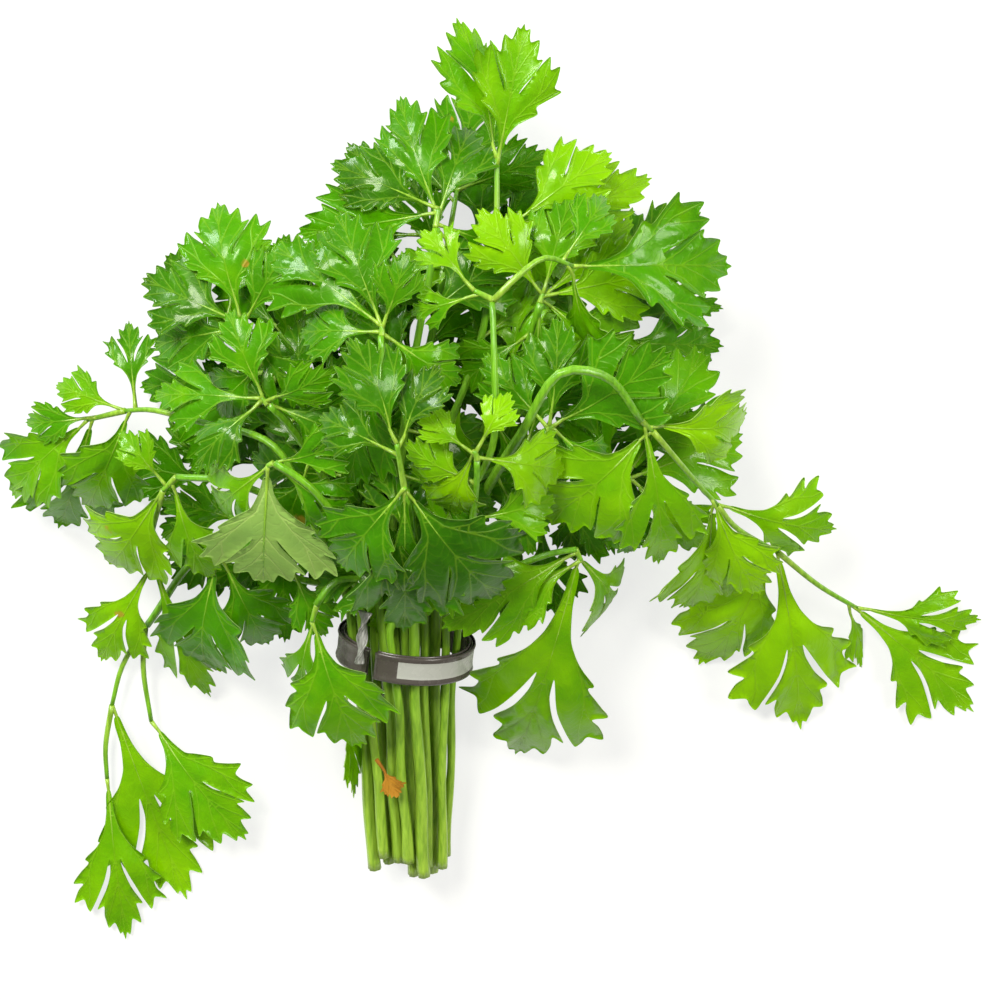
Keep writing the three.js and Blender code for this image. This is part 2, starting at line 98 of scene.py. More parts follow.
def linear(hex_colour):
    """An sRGB hex colour as linear red, green, blue and alpha."""
    channels = [int(hex_colour[i:i + 2], 16) / 255 for i in (1, 3, 5)]
    return [c / 12.92 if c <= 0.04045 else ((c + 0.055) / 1.055) ** 2.4 for c in channels] + [1.0]


def pattern_every(size):
    """The scale of a pattern that repeats after so many millimetres."""
    return 1 / (size * MM)


def node(tree, kind, settings=None, **links):
    """Adds a shader node. A link is a value, another node's output, or a node for its first one.
    It goes by its input's name, with _ for a space, or by i and the input's number. The setting
    stops lists the places and hex colours of a colour ramp."""
    made = tree.nodes.new("ShaderNode" + kind)
    settings = dict(settings or {})
    for k, (spot, colour) in enumerate(settings.pop("stops", [])):
        ramp = made.color_ramp.elements
        stop = ramp[k] if k < 2 else ramp.new(spot)
        stop.position = spot
        stop.color = linear(colour)
    for key, value in settings.items():
        setattr(made, key, value)
    for key, value in links.items():
        numbered = key[0] == "i" and key[1:].isdigit()
        socket = made.inputs[int(key[1:]) if numbered else key.replace("_", " ")]
        if isinstance(value, bpy.types.Node):
            value = value.outputs[0]
        if isinstance(value, bpy.types.NodeSocket):
            tree.links.new(value, socket)
        else:
            socket.default_value = value
    return made


def new_material(name):
    material = bpy.data.materials.new(name)
    material.use_nodes = True
    material.node_tree.nodes.clear()
    return material, material.node_tree


# White laminate: matt, and bright enough to the eye to read as white, with a faint shadow.
table_white, tree = new_material("white_laminate")
floor_shade = node(tree, "BsdfDiffuse", Color=linear(FLOOR_WHITE), Roughness=0.5)
floor_glow = node(tree, "Emission", Color=(1, 1, 1, 1), Strength=1.0)
eye = node(tree, "LightPath").outputs["Is Camera Ray"]
eye_share = node(tree, "Math", {"operation": "MULTIPLY"}, i0=eye, i1=FLOOR_GLOW)
floor_mix = node(tree, "MixShader", Fac=eye_share, i1=floor_shade, i2=floor_glow)
node(tree, "OutputMaterial", Surface=floor_mix)

edge = FLOOR_SIZE / 2
corners = [(-edge, -edge, 0), (edge, -edge, 0), (edge, edge, 0), (-edge, edge, 0)]
floor_mesh = bpy.data.meshes.new("floor")
floor_mesh.from_pydata(corners, [], [(0, 1, 2, 3)])
floor_mesh.materials.append(table_white)
floor = link_object("floor", floor_mesh)
floor.location.z = -FLOOR_DROP


def soft_lamp(name, place, size, power, colour):
    """A round lamp that faces the origin, its power in watts."""
    data = bpy.data.lights.new(name, "AREA")
    data.shape = "DISK"
    data.size = size
    data.energy = power
    data.color = colour
    lamp = link_object(name, data)
    lamp.location = place
    lamp.rotation_euler = (Vector(place) * -1).to_track_quat("-Z", "Y").to_euler()


soft_lamp("key_lamp", (-0.5, 0.8, 1.3), 0.5, 25, (1.0, 0.98, 0.88))
soft_lamp("fill_lamp", (0.95, 0.35, 1.1), 0.5, 12, (1.0, 0.98, 0.9))
soft_lamp("window", (-1.1, 1.2, 0.75), 0.45, 20, (0.92, 0.98, 1.0))

room = bpy.data.worlds.new("pale_room")
room.use_nodes = True
room_light = room.node_tree.nodes["Background"].inputs
room_light["Color"].default_value = ROOM_LIGHT
room_light["Strength"].default_value = ROOM_STRENGTH
bpy.context.scene.world = room

# ---- The stems ----------------------------------------------------------------------------
# Each is a parsley leaf's own stalk: juicy, pale yellow-green, and grooved along its length.
# They run side by side through the tie, fan out past it, and end where their leaf forks.

COLUMN_PITCH = 6.6
ROW_PITCH = 5.7
ROW_COUNT = 6
CUT_Y = -86
FAN_Y = 34                      # where the stems begin to part, past the tie
FAN_SHARE = 0.6                 # of the way to a route's first place, where that comes sooner
BUNDLE_SLOPE = 0.145
SQUEEZE_AT_CUT = 0.8
SQUEEZE_AT_TIE = 1.06
SQUEEZE_AT_FAN = 1.3
BUNDLE_TWIST = math.radians(16)
STEM_RADIUS = 2.3
FORK_RADIUS = 1.3
STEM_SIDES = 28
STEM_RINGS = 56
STEM_REST = 3.4                 # the least height of a stem's middle, where it lies on the surface
SWAY_ACROSS = 0.5
SWAY_UP = 0.35
CUT_FLARE = 0.12                # a stem's swelling towards the cut, as a share of its radius
KNOBBLE = 0.04                  # the rise of its slight swellings, likewise
CURVE_STEPS = 24                # between two places that a curve goes through
OFF_AXIS = [0.31, 0.17, 0.93]   # a way that no tube sets out in

# slot: column and row inside the tie. cut: how much shorter the stem is cut. tone: from 0, a
# deep green, to 1, a yellow-green; partly the leaf's own colour, old or young, and partly
# painted light and shade: leaves that lie open on top get a high tone, those deep in the bunch
# a low one. ribs: where the leaf's ribs run, and the leaflets at their ends: [tip x, y, z, half
# width to length, roll, arch].
SPRIGS = [
    {"name": "centre", "slot": [0.5, 5], "cut": 2, "tone": 0.22,
     "route": [[4, 50, 84], [3, 68, 96]], "ribs": [
        ([[3, 68, 96], [3, 69, 98]],
         [[-18, 40, 78, 0.48, 12, 5], [1, 12, 64, 0.36, 0, 5], [29, 29, 68, 0.46, -14, 5]]),
        ([[3, 68, 96], [1, 84, 104]],
         [[-14, 116, 101, 0.46, 30, 5], [14, 108, 100, 0.42, -26, 3], [-24, 92, 96, 0.42, 10, 4]])]},
    {"name": "forked", "slot": [1, 4], "cut": 4, "tone": 0.6,
     "route": [[16, 52, 70], [30, 80, 90], [31, 106, 92], [31, 127, 88]], "ribs": [
        ([[31, 127, 88], [25, 130, 88]], [[8, 148, 82, 0.44, 20, 3], [4, 122, 80, 0.4, 0, 3]]),
        ([[31, 127, 88], [38, 134, 88], [47, 140, 84], [56, 137, 78]],
         [[107, 135, 52, 0.4, -8, 6], [74, 101, 56, 0.24, 50, 6], [67, 159, 66, 0.36, 0, 4]])]},
    {"name": "right_arch", "slot": [1.5, 3], "cut": 0, "tone": 0.85,
     "route": [[22, 50, 52], [40, 84, 84], [52, 105, 93], [66, 103, 89], [78, 88, 80]], "ribs": [
        ([[78, 88, 80], [82, 84, 76]],
         [[48, 54, 62, 0.5, -10, 7], [116, 86, 60, 0.38, 14, 6], [84, 38, 52, 0.34, -24, 6]]),
        ([[82, 84, 76], [99, 63, 57], [106, 55, 50]],
         [[148, 44, 34, 0.38, 16, 4], [98, 14, 28, 0.4, -24, 5], [122, 22, 30, 0.4, 0, 4]]),
        ([[106, 55, 50], [113, 46, 42], [129, 35, 30]],
         [[142, -35, 1, 0.34, -8, 6], [106, -16, 8, 0.34, -10, 4]]),
        ([[129, 35, 30], [145, 21, 20], [160, 11, 12]],
         [[206, 4, 5, 0.3, 12, 3], [207, -30, -5, 0.32, -6, 3], [164, -13, -2, 0.22, -40, 1]])]},
    {"name": "front_right", "slot": [2.5, 3], "cut": 6, "tone": 0.75,
     "route": [[30, 30, 52], [48, 40, 60], [58, 42, 60]], "ribs": [
        ([[58, 42, 60], [60, 38, 59]],
         [[31, 18, 50, 0.38, 14, 4], [38, -48, 11, 0.28, 0, 10], [82, 2, 28, 0.4, -16, 5],
          [14, 14, 56, 0.34, 0, 3]])]},
    {"name": "over_tie", "slot": [-0.5, 5], "cut": 8, "tone": 0.5,
     "route": [[-2, 18, 45], [-9, 29, 53], [-21, 31, 59], [-28, 23, 60]], "ribs": [
        ([[-28, 23, 60], [-30, 17, 59]], [[-15, -30, 44, 0.46, 8, 6], [-35, -16, 40, 0.34, 24, 4]])]},
    {"name": "left_droop", "slot": [-2.5, 3], "cut": 3, "tone": 0.75,
     "route": [[-30, 34, 36], [-52, 42, 38], [-72, 32, 28], [-93, 5, 14]], "ribs": [
        ([[-93, 5, 14], [-103, -12, 8], [-107, -26, 7]], [[-83, -100, -5, 0.33, 4, 3]]),
        ([[-93, 5, 14], [-95, -12, 9], [-93, -32, 7]], [[-60, -74, 15, 0.38, 6, 3]]),
        ([[-107, -26, 7], [-110, -42, 6], [-110, -54, 5]], [[-107, -115, -5, 0.3, -14, 4]])]},
    {"name": "far_left", "slot": [-2, 4], "cut": 9, "tone": 0.5,
     "route": [[-26, 48, 66], [-40, 78, 74], [-69, 85, 56]], "ribs": [
        ([[-69, 85, 56], [-84, 87, 48], [-93, 86, 43]],
         [[-118, 94, 36, 0.4, 10, 3], [-111, 48, 24, 0.4, -10, 5], [-92, 116, 38, 0.36, 6, 3]]),
        ([[-93, 86, 43], [-107, 82, 36]],
         [[-138, 53, 20, 0.38, 16, 4], [-125, 36, 3, 0.38, -12, 4], [-130, 80, 30, 0.36, 0, 3]])]},
    {"name": "left_bright", "slot": [-1.5, 3], "cut": 5, "tone": 0.8,
     "route": [[-30, 50, 50], [-56, 64, 58], [-75, 65, 53]], "ribs": [
        ([[-75, 65, 52], [-80, 60, 50]],
         [[-103, 29, 29, 0.46, -8, 5], [-94, 80, 50, 0.4, 10, 3], [-66, 30, 34, 0.42, 4, 4]]),
        ([[-80, 60, 50], [-87, 40, 34], [-88, 30, 26]],
         [[-110, -9, 9, 0.34, 6, 4], [-74, -26, 16, 0.24, 20, 3]])]},
    {"name": "pale_side", "slot": [-1, 4], "cut": 7, "tone": 0.5,
     "route": [[-16, 50, 74], [-28, 68, 86], [-39, 75, 86]], "ribs": [
        ([[-39, 75, 86], [-41, 74, 85]],
         [[-46, 32, 57, 0.5, 176, -6], [-12, 84, 91, 0.4, 10, 3], [-64, 54, 62, 0.44, 14, 4],
          [-14, 54, 74, 0.4, 0, 4]])]},
    {"name": "low_left", "slot": [-1.5, 1], "cut": 12, "tone": 0.42,
     "route": [[-38, 26, 30], [-52, 36, 42]], "ribs": [
        ([[-52, 36, 42], [-64, 34, 40]], [[-72, -10, 13, 0.46, 4, 5], [-48, -3, 20, 0.4, -6, 4]]),
        ([[-52, 36, 42], [-38, 34, 48]], [[-27, 8, 40, 0.42, 4, 3], [-14, 44, 52, 0.42, -6, 3]])]},
    {"name": "upper_left", "slot": [-1, 2], "cut": 4, "tone": 0.35,
     "route": [[-16, 60, 44], [-34, 92, 58], [-50, 115, 64]], "ribs": [
        ([[-50, 115, 64], [-51, 118, 64]],
         [[-60, 156, 57, 0.5, -6, 4], [-84, 131, 52, 0.4, 8, 3], [-34, 143, 63, 0.44, -10, 3],
          [-82, 108, 46, 0.42, 14, 3], [-30, 90, 62, 0.44, 0, 4]])]},
    {"name": "upper_middle", "slot": [0, 4], "cut": 1, "tone": 0.5,
     "route": [[2, 56, 68], [-4, 90, 86], [-4, 116, 89]], "ribs": [
        ([[-4, 116, 89], [-4, 119, 89]],
         [[-39, 143, 69, 0.44, 8, 4], [-17, 153, 74, 0.4, -6, 4], [4, 142, 93, 0.42, 14, 2],
          [-33, 117, 80, 0.4, 20, 3], [20, 100, 78, 0.4, 0, 4]])]},
    {"name": "top_left", "slot": [-0.5, 3], "cut": 5, "tone": 0.3,
     "route": [[-2, 60, 46], [6, 110, 56], [12, 148, 57]], "ribs": [
        ([[12, 148, 57], [13, 154, 56]],
         [[-22, 168, 47, 0.38, 8, 4], [-34, 148, 54, 0.36, 16, 3], [0, 190, 42, 0.36, -8, 4],
          [24, 182, 42, 0.4, 0, 4], [36, 140, 48, 0.4, 0, 3]])]},
    {"name": "crown", "slot": [0.5, 3], "cut": 0, "tone": 0.75,
     "route": [[8, 60, 44], [26, 110, 50], [32, 145, 53]], "ribs": [
        ([[32, 145, 53], [32, 160, 52], [32, 170, 51]],
         [[20, 215, 44, 0.36, 34, 3], [41, 212, 50, 0.36, -6, 3]]),
        ([[32, 145, 53], [37, 149, 54]],
         [[69, 171, 46, 0.42, -10, 4], [86, 162, 42, 0.26, 14, 2], [58, 132, 44, 0.42, 0, 4]])]},
    {"name": "curled", "slot": [2, 4], "cut": 3, "tone": 0.85,
     "route": [[22, 46, 72], [26, 68, 92], [26, 78, 98]], "ribs": [
        ([[26, 78, 98], [25, 81, 99]],
         [[10, 55, 84, 0.34, 24, 4], [36, 99, 97, 0.4, -8, 3], [7, 93, 100, 0.34, 10, 2],
          [56, 72, 82, 0.42, -10, 3]])]},
    {"name": "right_middle", "slot": [1, 2], "cut": 6, "tone": 0.45,
     "route": [[18, 56, 40], [38, 74, 66], [48, 84, 74]], "ribs": [
        ([[48, 84, 74], [50, 85, 74]],
         [[36, 54, 70, 0.42, 10, 4], [66, 68, 62, 0.4, -10, 4], [86, 108, 66, 0.42, -6, 4],
          [52, 120, 74, 0.4, 8, 3], [28, 108, 70, 0.42, 0, 4], [58, 44, 56, 0.4, 0, 4]])]},
    {"name": "top_right", "slot": [1.5, 1], "cut": 7, "tone": 0.7,
     "route": [[20, 60, 30], [38, 100, 52], [46, 124, 62]], "ribs": [
        ([[46, 124, 62], [47, 127, 62]],
         [[56, 158, 56, 0.4, -6, 4], [26, 154, 64, 0.4, 8, 3], [87, 133, 51, 0.42, -8, 4],
          [78, 150, 46, 0.3, 10, 3], [79, 101, 44, 0.42, 6, 4], [44, 90, 52, 0.42, 0, 4]])]},
    {"name": "left_middle", "slot": [-2, 2], "cut": 10, "tone": 0.4,
     "route": [[-22, 56, 44], [-36, 84, 66], [-42, 92, 72]], "ribs": [
        ([[-42, 92, 72], [-44, 94, 72]],
         [[-80, 92, 52, 0.38, 12, 4], [-66, 74, 60, 0.36, -6, 3], [-54, 122, 68, 0.42, -10, 3],
          [-20, 104, 84, 0.4, 8, 3], [-8, 78, 66, 0.42, -8, 4]])]},
    {"name": "right_back", "slot": [2, 2], "cut": 8, "tone": 0.6,
     "route": [[32, 40, 34], [58, 56, 44], [74, 62, 44]], "ribs": [
        ([[74, 62, 44], [77, 63, 43]],
         [[104, 36, 26, 0.4, 6, 4], [116, 76, 30, 0.44, -6, 4], [76, 18, 30, 0.44, 10, 4],
          [102, 106, 36, 0.42, 0, 4], [58, 92, 40, 0.44, 0, 4]])]},
]

# The sprigs at the back and underneath, each a leaf of groups of three leaflets: where its stem
# ends, the way its leaf points, in degrees, how far it reaches, and the sides of that heading
# that its groups take.
BACK_SPRIGS = [
    {"name": "under_left", "slot": [-1, 0], "cut": 4, "fork": [-44, 52, 16],
     "heading": 170, "reach": 62, "sides": [-2, -1, 0, 1, 2]},
    {"name": "under_middle", "slot": [0, 0], "cut": 2, "fork": [-6, 88, 16],
     "heading": 100, "reach": 64, "sides": [-2, -1, 0, 1, 2]},
    {"name": "under_right", "slot": [1, 0], "cut": 6, "fork": [44, 60, 16],
     "heading": 20, "reach": 62, "sides": [-2, -1, 0, 1]},
    {"name": "under_top", "slot": [-0.5, 1], "cut": 3, "fork": [14, 134, 30],
     "heading": 80, "reach": 62, "sides": [-2, -1, 0, 1, 2]},
    {"name": "under_upper_left", "slot": [0, 2], "cut": 7, "fork": [-42, 98, 32],
     "heading": 140, "reach": 62, "sides": [-1, 0, 1, 2]},
    {"name": "under_upper_right", "slot": [0.5, 1], "cut": 5, "fork": [58, 108, 32],
     "heading": 45, "reach": 62, "sides": [-1, 0, 1, 2]},
]
# Painted shade: the sprigs at the back and underneath all get one low tone, a deeper green.
BACK_SHADE_TONE = 0.35
BACK_RIB_SPREAD = 50
BACK_LEAFLET_SPREAD = 58
SIDE_RIB_REACH = 0.26           # reaches are shares of the leaf's own
MIDDLE_RIB_REACH = 0.4
SIDE_LEAFLET_REACH = 0.5
MIDDLE_LEAFLET_REACH = 0.6
BACK_RIB_HEIGHT = 0.6           # of a rib's end, as a share of its fork's
BACK_LEAFLET_STEP = 4           # how much higher a leaflet's tip is than the next one's
BACK_LEAFLET_FORM = [0.38, 0, 2]


def turned(place, degrees, distance):
    angle = math.radians(degrees)
    return [place[0] + distance * math.cos(angle), place[1] + distance * math.sin(angle)]


def with_ribs(sprig):
    """Gives a sprig at the back its leaf."""
    fork, reach = sprig["fork"], sprig["reach"]
    ribs = []
    for side in sprig["sides"]:
        direction = sprig["heading"] + BACK_RIB_SPREAD * side
        knot = turned(fork, direction, reach * (SIDE_RIB_REACH if side else MIDDLE_RIB_REACH))
        knot.append(BACK_RIB_HEIGHT * fork[2])
        blades = []
        for turn in (-1, 0, 1):
            leaflet_reach = reach * (SIDE_LEAFLET_REACH if turn else MIDDLE_LEAFLET_REACH)
            tip = turned(knot, direction + BACK_LEAFLET_SPREAD * turn, leaflet_reach)
            blades.append(tip + [BACK_LEAFLET_STEP * (side - turn)] + BACK_LEAFLET_FORM)
        ribs.append(([fork, knot], blades))
    return {**sprig, "route": [fork], "ribs": ribs, "tone": BACK_SHADE_TONE}


grown = SPRIGS + [with_ribs(sprig) for sprig in BACK_SPRIGS]


def curve(points, count):
    """Places at even distances along a smooth curve through the points."""
    p = [Vector(q) for q in points]
    p = [2 * p[0] - p[1]] + p + [2 * p[-1] - p[-2]]
    fine = []
    for a, b, c, d in zip(p, p[1:], p[2:], p[3:]):
        ta, tb, tc = (math.sqrt((q - o).length) or 1e-3 for o, q in ((a, b), (b, c), (c, d)))
        m0 = ((b - a) / ta - (c - a) / (ta + tb) + (c - b) / tb) * tb
        m1 = ((c - b) / tb - (d - b) / (tb + tc) + (d - c) / tc) * tb
        for i in range(CURVE_STEPS):
            t = i / CURVE_STEPS
            fine.append(b * (2 * t**3 - 3 * t**2 + 1) + m0 * (t**3 - 2 * t**2 + t)
                        + c * (3 * t**2 - 2 * t**3) + m1 * (t**3 - t**2))
    fine.append(p[-2])
    run = np.concatenate([[0], np.cumsum([(b - a).length for a, b in zip(fine, fine[1:])])])
    wanted = np.linspace(0, run[-1], count)
    spots = np.array(fine)
    return np.stack([np.interp(wanted, run, spots[:, k]) for k in range(3)], axis=1)


class Shape:
    """Collects vertices, faces, their materials and named vertex values for one mesh."""

    def __init__(self):
        self.vertices = []
        self.faces = []
        self.slots = []
        self.values = {}

    def add(self, vertices, faces, slots, **values):
        """Slots are one material's number, or one for each face. A value can be one for all."""
        start = len(self.vertices)
        self.vertices.extend(vertices)
        self.faces.extend([[start + i for i in face] for face in faces])
        self.slots.extend(slots if hasattr(slots, "__len__") else [slots] * len(faces))
        for key, value in values.items():
            spread = value if hasattr(value, "__len__") else [value] * len(vertices)
            self.values.setdefault(key, [0.0] * start).extend(spread)
        for kept in self.values.values():
            kept.extend([0.0] * (len(self.vertices) - len(kept)))

    def piece(self, name, materials):
        mesh = bpy.data.meshes.new(name)
        mesh.from_pydata([at(*v) for v in self.vertices], [], self.faces)
        mesh.polygons.foreach_set("material_index", self.slots)
        mesh.polygons.foreach_set("use_smooth", [True] * len(self.faces))
        for key, kept in self.values.items():
            mesh.attributes.new(key, "FLOAT", "POINT").data.foreach_set("value", kept)
        for material in materials:
            mesh.materials.append(material)
        mesh.update()
        return link_object(name, mesh)


def tube_faces(rings, sides):
    """The faces between one ring of a tube's points and the next."""
    faces = []
    for i in range(rings - 1):
        for j in range(sides):
            a, b = i * sides + j, i * sides + (j + 1) % sides
            faces.append([a, b, b + sides, a + sides])
    return faces


def sweep(shape, spots, radius_at, sides, slot, profile=None, cut_slot=None):
    """Adds a closed tube along the spots. Its first end can have a material of its own."""
    count = len(spots)
    tangents = np.gradient(spots, axis=0)
    tangents /= np.linalg.norm(tangents, axis=1)[:, None]
    normal = np.cross(tangents[0], OFF_AXIS)
    rings = []
    for i in range(count):
        normal = normal - tangents[i] * np.dot(normal, tangents[i])
        normal = normal / np.linalg.norm(normal)
        binormal = np.cross(tangents[i], normal)
        for j in range(sides):
            angle = 2 * math.pi * j / sides
            radius = radius_at(i / (count - 1)) * (profile(angle) if profile else 1)
            rings.append(spots[i] + (normal * math.cos(angle) + binormal * math.sin(angle)) * radius)
    faces = tube_faces(count, sides)
    first, last = len(rings), len(rings) + 1
    rings += [spots[0], spots[-1]]
    for j in range(sides):
        k = (j + 1) % sides
        faces.append([first, k, j])
        faces.append([last, (count - 1) * sides + j, (count - 1) * sides + k])
    along = [i / (count - 1) for i in range(count) for _ in range(sides)] + [0.0, 1.0]
    first_end = slot if cut_slot is None else cut_slot
    slots = [first_end if first in face else slot for face in faces]
    shape.add(rings, faces, slots, along=along)


def bundle_point(slot, y, squeeze):
    """A place on the stem in a slot of the bundle, which slopes, twists and is squeezed."""
    x = slot[0] * COLUMN_PITCH * squeeze
    z = (slot[1] - (ROW_COUNT - 1) / 2) * ROW_PITCH * squeeze
    turn = BUNDLE_TWIST * y / -CUT_Y
    across = x * math.cos(turn) - z * math.sin(turn)
    up = x * math.sin(turn) + z * math.cos(turn)
    return [across, y, TIE_MIDDLE + BUNDLE_SLOPE * y + up]


def stem_points(sprig):
    fan = min(FAN_Y, FAN_SHARE * sprig["route"][0][1])
    squeeze = SQUEEZE_AT_TIE + (SQUEEZE_AT_FAN - SQUEEZE_AT_TIE) * fan / FAN_Y
    return [bundle_point(sprig["slot"], CUT_Y + sprig["cut"], SQUEEZE_AT_CUT),
            bundle_point(sprig["slot"], 0, SQUEEZE_AT_TIE),
            bundle_point(sprig["slot"], fan, squeeze)] + sprig["route"]


def grooved(angle):
    """The section of a stem: fine ribs, with one deeper channel on the side that faced up."""
    return 1 + 0.05 * math.cos(7 * angle) - 0.2 * math.exp(-((angle - math.pi) / 0.55) ** 2)


# Living stem tissue: a moist skin with a soft gloss, and light that sinks into the flesh below.
# It pales towards the cut, and darker streaks about 1 mm wide and 17 mm long run along it.
stem_skin, tree = new_material("parsley_stem_skin")
along = node(tree, "Attribute", {"attribute_name": "along"}).outputs["Fac"]
fade = node(tree, "ValToRGB", {"stops": [(0.0, "#98ba3c"), (1.0, "#6aa816")]}, Fac=along)
place = node(tree, "TexCoord").outputs["Object"]
streak_scale = (pattern_every(1.11), pattern_every(16.7), pattern_every(1.11))
streak_space = node(tree, "Mapping", Vector=place, Scale=streak_scale)
streaks = node(tree, "TexNoise", Vector=streak_space, Scale=1.0, Detail=3.0)
shade = node(tree, "ValToRGB", {"stops": [(0.3, "#7d9f38"), (0.62, "#ffffff")]}, Fac=streaks)
skin = node(tree, "Mix", {"data_type": "RGBA", "blend_type": "MULTIPLY"}, Factor=0.55,
            A=fade, B=shade)
bump = node(tree, "Bump", Strength=0.3, Distance=0.0003, Height=streaks)
shader = node(tree, "BsdfPrincipled", Base_Color=skin.outputs["Result"], Roughness=0.3,
              Subsurface_Weight=0.15, Subsurface_Radius=(0.002, 0.003, 0.0006), Normal=bump)
node(tree, "OutputMaterial", Surface=shader)

# The cut face: pale, wet flesh in cells of 1.1 mm, which has dried to a dull cream in places.
stem_flesh, tree = new_material("cut_parsley_stem")
place = node(tree, "TexCoord").outputs["Object"]
cells = node(tree, "TexNoise", Vector=place, Scale=pattern_every(1.11))
flesh = node(tree, "ValToRGB", {"stops": [(0.0, "#9aa552"), (1.0, "#dfe2b4")]}, Fac=cells)
shader = node(tree, "BsdfPrincipled", Base_Color=flesh, Roughness=0.5)
node(tree, "OutputMaterial", Surface=shader)

for number, sprig in enumerate(grown):
    rng = np.random.default_rng(40 + number)
    spots = curve(stem_points(sprig), STEM_RINGS)
    sway = rng.uniform(0, 6.28, 2)
    run = np.linspace(0, 1, len(spots))
    held = np.minimum(1, 8 * run)       # a stem doesn't sway at its cut
    spots[:, 0] += SWAY_ACROSS * np.sin(run * 17 + sway[0]) * held
    spots[:, 2] += SWAY_UP * np.sin(run * 13 + sway[1]) * held
    spots[:, 2] = np.maximum(spots[:, 2], STEM_REST)
    girth = rng.uniform(0.74, 1.04)

    def stem_radius(t):
        flare = CUT_FLARE * math.exp(-t * 14)
        swelling = KNOBBLE * math.sin(31 * t + sway[0])
        return (STEM_RADIUS + (FORK_RADIUS - STEM_RADIUS) * t) * (girth + flare + swelling)

    stem = Shape()
    sweep(stem, spots, stem_radius, STEM_SIDES, 0, grooved, 1)
    piece = stem.piece("stem_skin_" + sprig["name"], [stem_skin, stem_flesh])
    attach(piece, "root")
    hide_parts("stem_" + sprig["name"])

# ---- The leaves ---------------------------------------------------------------------------
# Thin, soft blades, puffed up between a branching web of veins, waxy on top and paler and matt
# underneath. Each leaf forks into ribs that carry leaflets on short stalks, and each leaflet is
# cut into three lobes with blunt teeth.

RIB_RADIUS = 1.1
RIB_END_RADIUS = 0.8
RIB_RINGS = 10
RIB_SIDES = 8
STALK_LENGTH = 5
STALK_SIDES = 6
MIDRIB_SPOTS = 12
MIDRIB_SHARE = 0.9              # of a leaflet's length, that its midrib stands out underneath
MIDRIB_TIP_RADIUS = 0.12
SEAT_PITCH = 2.2
BLADE_CUP = 0.16
PUFF_REACH = 2.0                # from a vein, over which a blade puffs up
PRESS_HEIGHT = 5                # below this, the surface lifts a leaflet
REST_HEIGHT = 0.7
LAMINA = 0.3
TIP_MATCH = 0.75                # how near to its leaf's solid a settled leaflet's tip lies
SIZES = (1, 0.86, 0.72)         # what a leaflet keeps of its length where others crowd it,
RISES = (3, -3, 6, -6, 10, -10, 14)     # and how far its tip moves up or down
VARIANTS = 8
DEEP_VARIANTS = (2, 5)
TYPICAL_LEAFLET = 40
LONG_LEAFLET = 56               # and more is always cut deep
WIDE_LEAFLET = 0.45             # of its length to each side, and more is never cut deep
HALF_WIDTH = 0.4                # of a typical leaflet, as a share of its length
GRID = 0.034                    # of a leaflet's length between the points of its blade
GRID_JITTER = 0.3               # of the grid, by which those points stray
TOP, UNDER, STALK = 0, 1, 2     # a leaf's materials

# One half of a leaflet's edge, from its stalk to its tip: share of its length, share of its
# half width. Most leaflets are broad with narrow clefts; some are cut deeper.
BROAD_EDGE = [
    (0.0, 0.05), (0.12, 0.1), (0.22, 0.22), (0.28, 0.42), (0.35, 0.68), (0.395, 0.58), (0.45, 0.78),
    (0.55, 0.99), (0.55, 0.8), (0.62, 0.9), (0.745, 0.98), (0.69, 0.76), (0.75, 0.75), (0.825, 0.7),
    (0.73, 0.53), (0.62, 0.37), (0.46, 0.14), (0.55, 0.22), (0.645, 0.38), (0.785, 0.57), (0.755, 0.4),
    (0.83, 0.42), (0.93, 0.39), (0.87, 0.21), (0.93, 0.17), (1.0, 0.14), (0.965, 0.05)]
DEEP_EDGE = [
    (0.0, 0.05), (0.14, 0.08), (0.26, 0.17), (0.34, 0.33), (0.4, 0.58), (0.435, 0.5), (0.5, 0.72),
    (0.58, 0.98), (0.58, 0.76), (0.645, 0.84), (0.76, 0.94), (0.7, 0.7), (0.76, 0.68), (0.8, 0.62),
    (0.7, 0.46), (0.56, 0.27), (0.4, 0.1), (0.52, 0.13), (0.64, 0.26), (0.77, 0.48), (0.75, 0.3),
    (0.83, 0.34), (0.93, 0.34), (0.87, 0.17), (0.95, 0.13), (0.99, 0.1), (0.96, 0.04)]
HALF_VEINS = [
    [(0.06, 0.0), (0.24, 0.14), (0.42, 0.44), (0.55, 0.66), (0.71, 0.9)],
    [(0.27, 0.18), (0.33, 0.42), (0.35, 0.6)],
    [(0.38, 0.37), (0.46, 0.62), (0.54, 0.9)],
    [(0.5, 0.57), (0.66, 0.62), (0.79, 0.68)],
    [(0.44, 0.0), (0.6, 0.2), (0.76, 0.5)],
    [(0.6, 0.0), (0.75, 0.17), (0.9, 0.35)],
    [(0.78, 0.0), (0.88, 0.06), (0.98, 0.12)]]
MIDRIB = [(0.0, 0.0), (0.25, 0.0), (0.5, 0.0), (0.75, 0.0), (0.96, 0.0)]
LEAFLET_END = (1.03, 0.0)


def rounded(loop):
    """Cuts each corner of a closed loop twice, the second time less."""
    for cut in (0.17, 0.25):
        loop = [p for a, b in zip(loop, loop[1:] + loop[:1])
                for p in ((a[0] + (b[0] - a[0]) * cut, a[1] + (b[1] - a[1]) * cut),
                          (b[0] + (a[0] - b[0]) * cut, b[1] + (a[1] - b[1]) * cut))]
    return loop


def split(line, step):
    """Divides a line into pieces of at most step, in shares of a leaflet's length."""
    spots = [line[0]]
    for a, b in zip(line, line[1:]):
        gap = math.dist((a[0], a[1] * HALF_WIDTH), (b[0], b[1] * HALF_WIDTH))
        count = max(1, math.ceil(gap / step))
        for k in range(1, count + 1):
            spots.append((a[0] + (b[0] - a[0]) * k / count, a[1] + (b[1] - a[1]) * k / count))
    return spots


def flat_spot(p):
    return Vector((p[0], p[1] * HALF_WIDTH))


